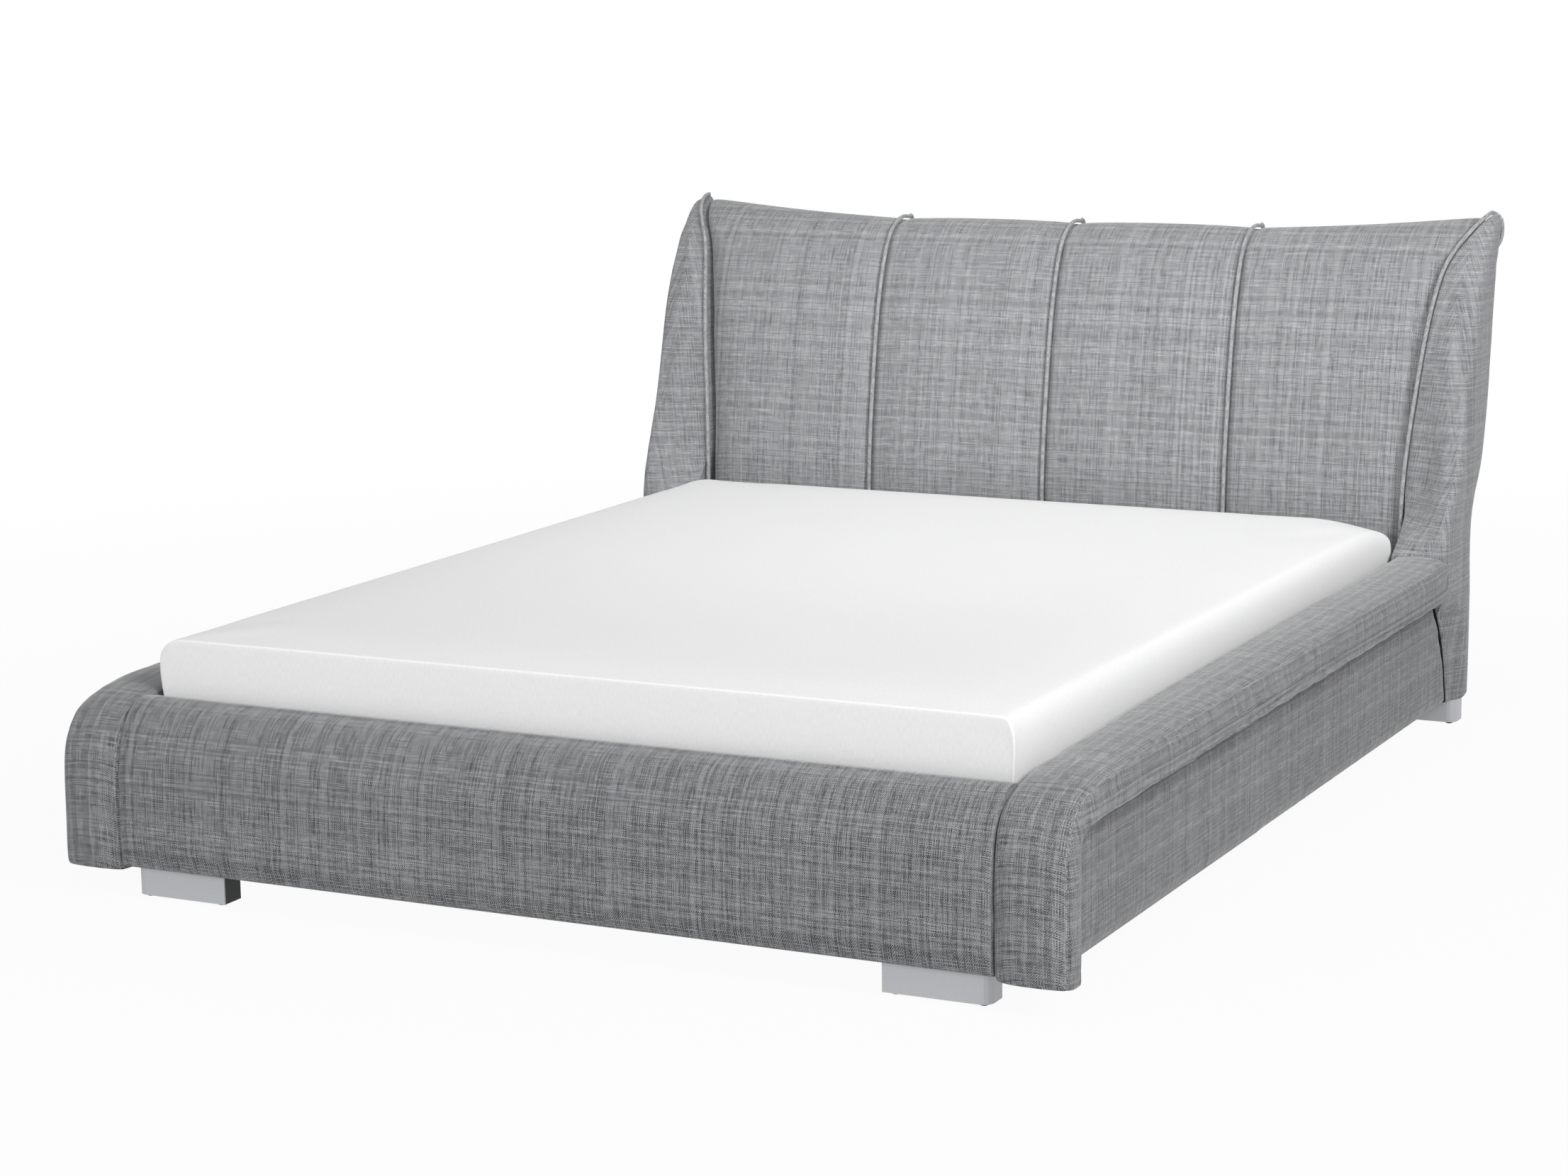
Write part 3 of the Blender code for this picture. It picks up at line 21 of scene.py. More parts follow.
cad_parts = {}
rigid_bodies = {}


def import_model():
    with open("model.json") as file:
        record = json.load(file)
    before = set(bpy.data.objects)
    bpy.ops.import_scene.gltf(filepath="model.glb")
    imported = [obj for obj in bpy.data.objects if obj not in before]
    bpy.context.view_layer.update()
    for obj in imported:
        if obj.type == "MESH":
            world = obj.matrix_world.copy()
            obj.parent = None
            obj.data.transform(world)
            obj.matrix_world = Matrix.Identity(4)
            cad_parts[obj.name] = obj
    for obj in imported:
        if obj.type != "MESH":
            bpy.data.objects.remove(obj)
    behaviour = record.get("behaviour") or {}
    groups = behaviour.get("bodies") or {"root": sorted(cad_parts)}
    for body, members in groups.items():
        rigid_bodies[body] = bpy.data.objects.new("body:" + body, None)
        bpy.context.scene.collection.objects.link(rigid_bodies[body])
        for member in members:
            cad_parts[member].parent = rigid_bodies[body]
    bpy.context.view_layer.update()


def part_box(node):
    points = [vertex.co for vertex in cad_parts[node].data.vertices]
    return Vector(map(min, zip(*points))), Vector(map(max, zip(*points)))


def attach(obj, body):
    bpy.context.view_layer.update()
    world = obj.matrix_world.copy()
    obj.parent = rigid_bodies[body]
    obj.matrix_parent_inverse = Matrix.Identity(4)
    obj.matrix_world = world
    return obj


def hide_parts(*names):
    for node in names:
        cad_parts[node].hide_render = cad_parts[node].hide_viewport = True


LOG = logging.getLogger("waterbed")

MM = 0.001
PHOTO_WIDTH = 2212
WEAVE_MAP = "weave"

MERGE = 0.02 * MM  # corners nearer to each other are one
LEVEL = 0.5 * MM  # a face nearer to a height lies at it
TOUCH = 1 * MM  # a corner nearer to a plane lies on it
BAND = 20 * MM  # long edges whose middles lie in one band are cut alike
ALONG = 0.8  # an edge with more of its length along an axis runs along it
LONG = 1.5  # an edge of more cells than this is cut
FAINT = 0.01  # a weaker pull on the cloth is left out
SIDEWAYS = 0.7  # a face with more of its direction along an axis looks along it
LEAN = 0.3  # how far the headboard leans back, and the cloth on it with it
SAG_CURVE = 1.8  # how quickly a sunken corner rises again
FLAT_ANGLE = math.radians(0.3)
SHARP_ANGLE = math.radians(35)
SMOOTH_ANGLE = math.radians(50)
QUAD_ANGLE = math.radians(60)
ANY_ANGLE = math.radians(180)
SQUARE_ANGLE = 1.0  # in radians

EdgeTest = Callable[[bmesh.types.BMEdge], bool]
PlaceTest = Callable[[Vector, Vector], bool]
SeamPull = Callable[[Vector, Vector], tuple[float, float]]
Link = bpy.types.NodeSocket
MaterialParts = tuple[bpy.types.Material, bpy.types.NodeTree, bpy.types.Node]
Point = tuple[float, float, float]


# Working tools
def make_active(piece: bpy.types.Object) -> None:
    """Select one piece alone and make it the active one.

    Args:
        piece: The piece.
    """
    bpy.ops.object.select_all(action="DESELECT")
    piece.select_set(True)
    bpy.context.view_layer.objects.active = piece


@contextmanager
def editing(piece: bpy.types.Object) -> Iterator[None]:
    """Edit mode on one piece, with its whole mesh selected.

    Args:
        piece: The piece to edit.

    Returns:
        The stretch of work in edit mode, for a with statement.
    """
    make_active(piece)
    bpy.ops.object.mode_set(mode="EDIT")
    bpy.ops.mesh.select_mode(type="FACE")
    bpy.ops.mesh.select_all(action="SELECT")
    yield
    bpy.ops.object.mode_set(mode="OBJECT")


def within_one(share: float) -> float:
    """Hold a share between 0 and 1."""
    return min(1.0, max(0.0, share))


def eased(share: float) -> float:
    """Turn a share from 0 to 1 into one that starts and ends gently."""
    return share * share * (3 - 2 * share)


def new_object(name: str, data: bpy.types.ID) -> bpy.types.Object:
    """Put an object into the scene.

    Args:
        name: The object's name.
        data: Its mesh, curve, camera or lamp.

    Returns:
        The new object.
    """
    made = bpy.data.objects.new(name, data)
    bpy.context.scene.collection.objects.link(made)
    return made


def piece_from(mesh: bmesh.types.BMesh, name: str) -> bpy.types.Object:
    """Make a piece of a mesh that was built point by point, with its faces turned outwards.

    Args:
        mesh: The mesh, which is freed.
        name: Name of the new piece.

    Returns:
        The new piece.
    """
    bmesh.ops.recalc_face_normals(mesh, faces=mesh.faces)
    data = bpy.data.meshes.new(name)
    mesh.to_mesh(data)
    mesh.free()
    return new_object(name, data)


def join_rings(mesh: bmesh.types.BMesh, rings: Sequence[Sequence[bmesh.types.BMVert]]) -> None:
    """Close a row of rings into a bar.

    Args:
        mesh: The mesh that holds the rings.
        rings: The rings, from one end of the bar to the other.
    """
    for near, far in zip(rings, rings[1:]):
        for n, corner in enumerate(near):
            after = (n + 1) % len(near)
            mesh.faces.new((corner, near[after], far[after], far[n]))
    mesh.faces.new(rings[0][::-1])
    mesh.faces.new(rings[-1])


def choose_edges(piece: bpy.types.Object, test: EdgeTest) -> int:
    """Select only the edges that pass a test, in edit mode.

    Args:
        piece: The piece that is being edited.
        test: Says of an edge whether it is wanted.

    Returns:
        How many edges are selected.
    """
    bpy.ops.mesh.select_mode(type="EDGE")
    bpy.ops.mesh.select_all(action="DESELECT")
    mesh = bmesh.from_edit_mesh(piece.data)
    wanted = [edge for edge in mesh.edges if test(edge)]
    for edge in wanted:
        edge.select_set(True)
    bmesh.update_edit_mesh(piece.data)
    return len(wanted)


def apply_step(piece: bpy.types.Object, kind: str, **settings: object) -> None:
    """Add a modifier with these settings and apply it.

    Args:
        piece: The piece to work on.
        kind: The modifier's type.
        settings: The modifier's properties and their values.
    """
    make_active(piece)
    step = piece.modifiers.new(kind.lower(), kind)
    for setting, value in settings.items():
        setattr(step, setting, value)
    bpy.ops.object.modifier_apply(modifier=step.name)


def smooth_out(piece: bpy.types.Object, levels: int) -> None:
    """Round a piece with a number of Catmull-Clark subdivisions."""
    apply_step(piece, "SUBSURF", levels=levels, render_levels=levels)


def edge_angle(edge: bmesh.types.BMEdge) -> float:
    """Angle between an edge's two faces, or zero on a border."""
    return edge.calc_face_angle(0.0)


def is_square(edge: bmesh.types.BMEdge) -> bool:
    """Whether an edge's two faces meet at about a right angle."""
    return edge_angle(edge) > SQUARE_ANGLE


def edge_middle(edge: bmesh.types.BMEdge) -> Vector:
    """Middle of an edge."""
    return (edge.verts[0].co + edge.verts[1].co) / 2


def copy_solid(node: str, name: str, flat_faces: bool) -> bpy.types.Object:
    """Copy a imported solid's mesh into a new piece, with its triangles joined again.

    Args:
        node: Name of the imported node.
        name: Name of the new piece.
        flat_faces: True on a prism, whose flat faces become whole again, and False on a form
            with rows of four-sided faces.

    Returns:
        The new piece.
    """
    source = bpy.data.objects[node]
    mesh = source.data.copy()
    mesh.name = name
    mesh.materials.clear()
    piece = new_object(name, mesh)
    make_active(piece)
    if mesh.has_custom_normals:
        bpy.ops.mesh.customdata_custom_splitnormals_clear()
    with editing(piece):
        bpy.ops.mesh.remove_doubles(threshold=MERGE)
        bpy.ops.mesh.mark_sharp(clear=True)
        if flat_faces:
            bpy.ops.mesh.dissolve_limited(angle_limit=FLAT_ANGLE)
        else:
            bpy.ops.mesh.tris_convert_to_quads(face_threshold=QUAD_ANGLE, shape_threshold=ANY_ANGLE)
    return piece


def slice_at(piece: bpy.types.Object, axis: int, places: Sequence[float]) -> None:
    """Cut a piece across one axis at the given places.

    Args:
        piece: The piece to cut.
        axis: 0, 1 or 2 for X, Y or Z.
        places: Where the cuts lie on that axis.
    """
    normal = Vector((0, 0, 0))
    normal[axis] = 1
    with editing(piece):
        for place in places:
            bpy.ops.mesh.select_all(action="SELECT")
            bpy.ops.mesh.bisect(plane_co=normal * place, plane_no=normal, threshold=MERGE)


def slice_evenly(piece: bpy.types.Object, axis: int, cell: float) -> None:
    """Cut a piece across one axis into slices of about the same width.

    Args:
        piece: The piece to cut.
        axis: 0, 1 or 2 for X, Y or Z.
        cell: Width that the slices have at most.
    """
    places = [vertex.co[axis] for vertex in piece.data.vertices]
    low, high = min(places), max(places)
    count = max(1, math.ceil((high - low) / cell))
    slice_at(piece, axis, [low + (high - low) * k / count for k in range(1, count)])


def split_long_edges(piece: bpy.types.Object, axis: int, cell: float) -> None:
    """Cut the long faces of a rowed form crosswise, band by band.

    Args:
        piece: The piece to cut.
        axis: The axis along which the long edges run.
        cell: Length that the cells then have at most.
    """
    def runs_along(edge: bmesh.types.BMEdge) -> bool:
        """Whether an edge is long and runs along the axis."""
        way = edge.verts[1].co - edge.verts[0].co
        return abs(way[axis]) > ALONG * way.length and way.length > LONG * cell

    def band_of(edge: bmesh.types.BMEdge) -> int:
        """Number of the band that an edge's middle lies in."""
        return round(edge_middle(edge)[axis] / BAND)

    with editing(piece):
        mesh = bmesh.from_edit_mesh(piece.data)
        bands: dict[int, list[float]] = {}
        for edge in mesh.edges:
            if runs_along(edge):
                bands.setdefault(band_of(edge), []).append(edge.calc_length())
        for band, lengths in bands.items():
            count = max(1, math.ceil(sum(lengths) / len(lengths) / cell)) - 1
            if count and choose_edges(
                    piece, lambda edge, band=band: runs_along(edge) and band_of(edge) == band):
                bpy.ops.mesh.subdivide(number_cuts=count, quadcorner="STRAIGHT_CUT")


def crease_sharp(piece: bpy.types.Object, amount: float, angle: float = SHARP_ANGLE) -> None:
    """Keep a piece's sharp edges from being rounded away.

    Args:
        piece: The piece to work on.
        amount: How much of the sharpness stays, up to 1.
        angle: The least angle between an edge's faces that counts as sharp.
    """
    with editing(piece):
        if choose_edges(piece, lambda edge: edge_angle(edge) > angle):
            bpy.ops.transform.edge_crease(value=amount)


def soften(piece: bpy.types.Object, repeat: int, test: PlaceTest) -> None:
    """Smooth the part of a piece that passes a test, as a thick filling rounds an edge.

    Args:
        piece: The piece to work on.
        repeat: How often it is smoothed.
        test: Says of a place and its normal whether it is smoothed.
    """
    with editing(piece):
        bpy.ops.mesh.select_mode(type="VERT")
        bpy.ops.mesh.select_all(action="DESELECT")
        mesh = bmesh.from_edit_mesh(piece.data)
        for vertex in mesh.verts:
            if test(vertex.co, vertex.normal):
                vertex.select_set(True)
        bmesh.update_edit_mesh(piece.data)
        bpy.ops.mesh.vertices_smooth(factor=0.5, repeat=repeat)


def bevel_edges(piece: bpy.types.Object, width: float, segments: int, test: EdgeTest) -> None:
    """Round the edges of a piece that pass a test.

    Args:
        piece: The piece to work on.
        width: Width of the rounding, measured along the faces.
        segments: How many strips the rounding has.
        test: Says of an edge whether it is wanted.
    """
    with editing(piece):
        if choose_edges(piece, test):
            bpy.ops.mesh.bevel(offset=width, offset_type="OFFSET", segments=segments,
                               affect="EDGES", clamp_overlap=True)


def add_block(name: str, low: Vector, high: Vector) -> bpy.types.Object:
    """A cube primitive at its size and place.

    Args:
        name: Name of the new piece.
        low: Its lowest corner.
        high: Its highest corner.

    Returns:
        The new piece.
    """
    bpy.ops.object.select_all(action="DESELECT")
    bpy.ops.mesh.primitive_cube_add(size=1, location=(low + high) / 2)
    piece = bpy.context.active_object
    piece.name = name
    piece.data.name = name
    piece.scale = high - low
    bpy.ops.object.transform_apply(location=True, rotation=True, scale=True)
    return piece


# Cloth on a piece
class Lie(Enum):
    """How the cloth lies on a piece, which sets the way that its threads run."""

    FOOT = "rolled over the foot end, with the warp across the bed"
    RAIL = "stretched along a side of the bed"
    HEAD = "stretched up the headboard"
    WING = "wrapped round a cheek of the headboard"
    FLAT = "laid flat on the mattress"

    def on_cloth(self, place: Vector, facing: Vector) -> tuple[float, float]:
        """Where a point of the piece lies on the flat cloth.

        Args:
            place: The point.
            facing: The way that its face looks.

        Returns:
            The place across and along the cloth, in metres.
        """
        x, y, z = place
        if self is Lie.FOOT:
            return (x, z + y) if abs(facing.x) < SIDEWAYS else (y, z)
        if self is Lie.RAIL:
            return (y, z) if abs(facing.x) > SIDEWAYS else (y + z, abs(x))
        if self is Lie.HEAD:
            return x, z + LEAN * y
        if self is Lie.WING:
            turned_in = facing.y > SIDEWAYS or facing.x * x < 0
            return (y - abs(x), z) if turned_in else (y + abs(x), z)
        if abs(facing.z) > SIDEWAYS:
            return x, y
        return (y, z) if abs(facing.x) > abs(facing.y) else (x, z)


def lay_cloth(piece: bpy.types.Object, lie: Lie) -> None:
    """Give every face corner its place on the flat cloth.

    Args:
        piece: The piece that the cloth covers.
        lie: How the cloth lies on it.
    """
    mesh = piece.data
    while mesh.uv_layers:
        mesh.uv_layers.remove(mesh.uv_layers[0])
    layer = mesh.uv_layers.new(name=WEAVE_MAP)
    for face in mesh.polygons:
        facing = face.normal
        for corner in face.loop_indices:
            place = mesh.vertices[mesh.loops[corner].vertex_index].co
            layer.data[corner].uv = lie.on_cloth(place, facing)


@dataclass(frozen=True)
class Filling:
    """How a padded piece is filled: its cloth simulation and the limit that holds it back.

    A point that the pressure moves further than most_swell is set back to that distance. That
    catches more than half of each piece's free points, and nearly all of the mattress lid's, so
    the simulation gives the way that a point moves and mostly the limit gives how far.
    """

    pressure: float = 4.0
    most_swell: float = 4.0 * MM
    slack: float = 0.0
    frames: int = 20

    def swell(self, piece: bpy.types.Object, is_held: PlaceTest) -> None:
        """Blow the piece up as cloth round its padding, and keep the result in its mesh.

        Args:
            piece: The piece, in its last net of cells but one.
            is_held: Says of a place and its normal whether the cloth is fixed there.
        """
        mesh = piece.data
        start = [vertex.co.copy() for vertex in mesh.vertices]
        held = [v.index for v in mesh.vertices if is_held(v.co, v.normal)]
        group = piece.vertex_groups.new(name="held")
        group.add(held, 1.0, "REPLACE")
        make_active(piece)
        step = piece.modifiers.new("filling", "CLOTH")
        cloth = step.settings
        cloth.use_pressure = True
        cloth.uniform_pressure_force = self.pressure
        cloth.vertex_group_mass = group.name
        cloth.effector_weights.gravity = 0
        cloth.shrink_min = -self.slack
        step.collision_settings.use_collision = False
        step.point_cache.frame_start = 1
        step.point_cache.frame_end = self.frames
        for frame in range(1, self.frames + 1):
            bpy.context.scene.frame_set(frame)
        bpy.ops.object.modifier_apply(modifier=step.name)
        bpy.context.scene.frame_set(1)
        for vertex, before in zip(mesh.vertices, start):
            move = vertex.co - before
            if move.length > self.most_swell:
                vertex.co = before + move.normalized() * self.most_swell
        piece.vertex_groups.clear()


@dataclass(frozen=True)
class Gathers:
    """Small gathers into which a seam draws the cloth, drawn with a smooth noise.

    Spread and lane say which part of the noise is read.
    """

    depth: float
    wave: float
    reach: float
    spread: float = 0.7
    lane: float = 3.1

    def draw(self, piece: bpy.types.Object, seam: SeamPull) -> None:
        """Draw a piece's cloth into gathers along a seam.

        Args:
            piece: The piece, in its last net of cells.
            seam: Gives of a place and its normal the strength, up to 1, and the way along the seam.
        """
        moves = []
        for vertex in piece.data.vertices:
            strength, along = seam(vertex.co, vertex.normal)
            if strength > FAINT:
                ripple = noise.noise(Vector((along / self.wave, strength * self.spread, self.lane)))
                moves.append((vertex, vertex.normal * self.depth * strength * ripple))
        for vertex, move in moves:
            vertex.co += move


@dataclass(frozen=True)
class Stitching:
    """A row of stitches that is laid onto a cover along a line.

    The profile holds three shares for each ring of a stitch: its place along the stitch, its
    thickness, and how far it stands out from the cover.
    """

    cover: bpy.types.Object
    line: Sequence[Vector]
    inward: Vector
    step: float = 6.5 * MM
    length: float = 4.5 * MM
    thickness: float = 1.1 * MM
    start_off: float = 2.0
    profile: tuple[Point, ...] = ((0.0, 0.35, -0.4), (0.25, 1.0, 0.2), (0.75, 1.0, 0.2),
                                  (1.0, 0.35, -0.4))

    def on_cover(self, run: float) -> tuple[Vector, Vector] | None:
        """Find the cover's surface at a point of the line.

        Args:
            run: Distance of the point from the line's start, along the line.

        Returns:
            The place and the way that the cover faces there, or None where there is no cover.
        """
        for start, end in zip(self.line, self.line[1:]):
            reach = (end - start).length
            if run <= reach:
                above = start.lerp(end, run / reach) - self.inward * self.start_off
                hit, place, facing, _ = self.cover.ray_cast(above, self.inward)
                return (place, facing) if hit else None
            run -= reach
        return None

    def sew(self, name: str) -> bpy.types.Object:
        """Sew the row.

        Args:
            name: Name of the row.

        Returns:
            The row of stitches.
        """
        bpy.context.view_layer.update()
        mesh = bmesh.new()
        whole = sum((end - start).length for start, end in zip(self.line, self.line[1:]))
        for k in range(int(whole / self.step)):
            ends = self.on_cover(k * self.step), self.on_cover(k * self.step + self.length)
            if not all(ends):
                continue
            (tail, facing), (head, _) = ends
            way = (head - tail).normalized()
            across = facing.cross(way).normalized()
            rings = []
            for share, thick, raised in self.profile:
                swell = self.thickness / 2 * thick
                middle = tail.lerp(head, share) + facing * (raised * self.thickness)
                rings.append([mesh.verts.new(middle + side * swell)
                              for side in (across, facing, -across, -facing)])
            join_rings(mesh, rings)
        return piece_from(mesh, name)


def sink_corner(piece: bpy.types.Object, low: float, top: float, corner: Vector, sag: float,
                reach: float) -> None:
    """Let the top of a piece sink towards one of its corners, as a worn mattress does.

    Args:
        piece: The piece to work on.
        low: Height below which nothing moves.
        top: Height of its top.
        corner: Place of the corner, seen from above.
        sag: How far the top sinks at the corner.
        reach: Distance from the corner at which the sinking ends.
    """
    for vertex in piece.data.vertices:
        away = (vertex.co.to_2d() - corner).length
        if away < reach and vertex.co.z > low:
            share = (vertex.co.z - low) / (top - low)
            vertex.co.z -= sag * share * (1 - away / reach) ** SAG_CURVE


def draw_corner(beyond_x: float, beyond_y: float) -> float:
    """Share by which a corner of a square is drawn in, so that the square becomes round.

    Args:
        beyond_x: How far it lies beyond the rounding's middle one way.
        beyond_y: How far it lies beyond it the other way.

    Returns:
        The share of both distances that stays.
    """
    return max(beyond_x, beyond_y) / math.hypot(beyond_x, beyond_y)


def fading(distance: float, reach: float) -> float:
    """Strength that is 1 at a seam and fades within a reach."""
    return math.exp(-abs(distance) / reach)


# Finishes
def linear_colour(code: str) -> tuple[float, float, float, float]:
    """Turn an sRGB hex code into a linear colour, by the curve of the sRGB standard.

    Args:
        code: The colour as "#rrggbb".

    Returns:
        Red, green, blue and alpha.
    """
    parts = [int(code[k:k + 2], 16) / 255 for k in (1, 3, 5)]
    red, green, blue = (part / 12.92 if part <= 0.04045 else ((part + 0.055) / 1.055) ** 2.4
                        for part in parts)
    return red, green, blue, 1.0


def add_node(tree: bpy.types.NodeTree, kind: str, links: dict[str | int, Link] | None = None,
             values: dict[str | int, object] | None = None, **settings: object) -> bpy.types.Node:
    """Add a node with its settings, values and links.

    Args:
        tree: The material's node tree.
        kind: The node's type, without the words ShaderNode.
        links: Sockets that feed the node's inputs.
        values: Values of the node's inputs.
        settings: The node's own properties.

    Returns:
        The new node.
    """
    made = tree.nodes.new("ShaderNode" + kind)
    for setting, value in settings.items():
        setattr(made, setting, value)
    for key, value in (values or {}).items():
        made.inputs[key].default_value = value
    for key, socket in (links or {}).items():
        tree.links.new(socket, made.inputs[key])
    return made


def new_material(name: str, **shader_values: object) -> MaterialParts:
    """A node material with an empty Principled shader.

    Args:
        name: The material's name.
        shader_values: Values of the shader's sockets, with _ for a blank.

    Returns:
        The material, its node tree and its shader.
    """
    material = bpy.data.materials.new(name)
    material.use_nodes = True
    tree = material.node_tree
    shader = tree.nodes["Principled BSDF"]
    for key, value in shader_values.items():
        shader.inputs[key.replace("_", " ").title().replace("Ior", "IOR")].default_value = value
    return material, tree, shader


def set_ramp(node: bpy.types.Node, stops: Sequence[tuple[float, str]]) -> None:
    """Give a colour ramp its stops.

    Args:
        node: The ramp.
        stops: Place and sRGB hex code of each stop.
    """
    elements = node.color_ramp.elements
    while len(elements) < len(stops):
        elements.new(0.5)
    for element, (place, code) in zip(elements, stops):
        element.position = place
        element.color = linear_colour(code)


@dataclass(frozen=True)
class LinenWeave:
    """Polyester yarn spun unevenly and woven plain, to look like linen.

    Light warp passes over and under darker weft, so the eye sees a fine chequer of threads with
    dark gaps between them. The middle of each thread is painted lighter and the gaps darker, as
    painted shade of the threads' roundness. Each yarn has its own thick and thin places, which show
    as light and dark streaks some centimetres long. It scatters light softly, with a faint bloom of
    loose fibres and no gloss. The pattern in the photograph repeats every 3 to 4 mm, so the real
    threads are some 1.5 to 1.9 mm apart. They are drawn 2 mm apart, because finer ones would blur
    into a plain grey in the render.
    """

    name: str
    dark: str = "#202123"
    middle: str = "#646567"
    light: str = "#a6a7a9"
    thread: float = 2.0 * MM
    slub_length: float = 44 * MM
    slub_share: float = 0.95
    yarn_share: float = 0.46
    crossing_share: float = 0.15
    warp_share: float = 0.14
    # How strongly the threads' roundness is painted into the tone as shade.
    painted_gap_shade_share: float = 0.60
    cloud: float = 160 * MM
    cloud_share: float = 0.06
    turn: float = 0.0
    yarn_jump: float = 300.0
    relief: float = 0.3 * MM
    stops: Point = (0.25, 0.75, 1.0)

    def material(self) -> bpy.types.Material:
        """Build the node material.

        Returns:
            The new material.
        """
        made, tree, shader = new_material(self.name, roughness=0.92, specular_ior_level=0.15,
                                          sheen_weight=0.45, sheen_roughness=0.45)
        flat = add_node(tree, "UVMap", uv_map=WEAVE_MAP)
        turned = add_node(tree, "VectorRotate", {"Vector": flat.outputs[0]}, {"Angle": self.turn},
                          rotation_type="Z_AXIS")
        place = add_node(tree, "SeparateXYZ", {"Vector": turned.outputs[0]})
        warp = self.yarn_tone(tree, place.outputs[0], place.outputs[1], 0.5 + self.warp_share)
        weft = self.yarn_tone(tree, place.outputs[1], place.outputs[0], 0.5 - self.warp_share)
        over = add_node(tree, "TexChecker", {"Vector": turned.outputs[0]},
                        {"Scale": 1 / self.thread})
        seen = add_node(tree, "Mix", {0: over.outputs["Fac"], 2: warp, 3: weft})
        crown = self.crown(tree, place.outputs[0], place.outputs[1])
        # Painted shade: the thread's height lightens its middle and darkens the gaps between
        # threads.
        rounded = add_node(tree, "Math", {0: crown, 2: seen.outputs[0]}, {1: self.painted_gap_shade_share},
                           operation="MULTIPLY_ADD")
        cells = add_node(tree, "VectorMath", {0: turned.outputs[0]}, {"Scale": 1 / self.thread},
                         operation="SCALE")
        crossing = add_node(tree, "VectorMath", {0: cells.outputs[0]}, operation="FLOOR")
        own = add_node(tree, "TexWhiteNoise", {"Vector": crossing.outputs[0]},
                       noise_dimensions="2D")
        uneven = add_node(tree, "Math", {0: own.outputs["Value"], 2: rounded.outputs[0]},
                          {1: self.crossing_share}, operation="MULTIPLY_ADD")
        cloud = add_node(tree, "TexNoise", {"Vector": turned.outputs[0]},
                         {"Scale": 1 / self.cloud, "Detail": 2.0}, noise_dimensions="2D")
        tone = add_node(tree, "Math", {0: cloud.outputs[0], 2: uneven.outputs[0]},
                        {1: self.cloud_share}, operation="MULTIPLY_ADD")
        ramp = add_node(tree, "ValToRGB", {0: tone.outputs[0]})
        set_ramp(ramp, tuple(zip(self.stops, (self.dark, self.middle, self.light))))
        tree.links.new(ramp.outputs[0], shader.inputs["Base Color"])
        bump = add_node(tree, "Bump", {"Height": crown}, {"Strength": 0.3, "Distance": self.relief})
        tree.links.new(bump.outputs[0], shader.inputs["Normal"])
        return made

    def yarn_tone(self, tree: bpy.types.NodeTree, across: Link, along: Link, level: float) -> Link:
        """Tone of the yarns that lie side by side in one direction.

        Args:
            tree: The material's node tree.
            across: The place across the yarns, in metres.
            along: The place along them.
            level: Their mean tone.

        Returns:
            The tone of the yarn at each point.
        """
        count = add_node(tree, "Math", {0: across}, {1: 1 / self.thread}, operation="MULTIPLY")
        number = add_node(tree, "Math", {0: count.outputs[0]}, operation="FLOOR")
        own = add_node(tree, "TexWhiteNoise", {"W": number.outputs[0]}, noise_dimensions="1D")
        run = add_node(tree, "Math", {0: along}, {1: 1 / self.slub_length}, operation="MULTIPLY")
        start = add_node(tree, "Math", {0: own.outputs["Value"], 2: run.outputs[0]},
                         {1: self.yarn_jump}, operation="MULTIPLY_ADD")
        slubs = add_node(tree, "TexNoise", {"W": start.outputs[0]},
                         {"Scale": 1.0, "Detail": 2.0, "Roughness": 0.6}, noise_dimensions="1D")
        shares = self.slub_share + self.yarn_share + self.crossing_share
        spun = add_node(tree, "Math", {0: slubs.outputs[0]},
                        {1: self.slub_share, 2: level - 0.5 * shares}, operation="MULTIPLY_ADD")
        return add_node(tree, "Math", {0: own.outputs["Value"], 2: spun.outputs[0]},
                        {1: self.yarn_share}, operation="MULTIPLY_ADD").outputs[0]

    def crown(self, tree: bpy.types.NodeTree, across: Link, along: Link) -> Link:
        """Height of the thread that lies on top.

        Args:
            tree: The material's node tree.
            across: The place across the cloth, in metres.
            along: The place along it.

        Returns:
            1 in a thread's middle and 0 in the gaps round it.
        """
        waves = []
        for socket in (across, along):
            scaled = add_node(tree, "Math", {0: socket}, {1: math.pi / self.thread},
                              operation="MULTIPLY")
            waves.append(add_node(tree, "Math", {0: scaled.outputs[0]}, operation="SINE"))
        both = add_node(tree, "Math", dict(enumerate(wave.outputs[0] for wave in waves)),
                        operation="MULTIPLY")
        return add_node(tree, "Math", {0: both.outputs[0]}, operation="ABSOLUTE").outputs[0]


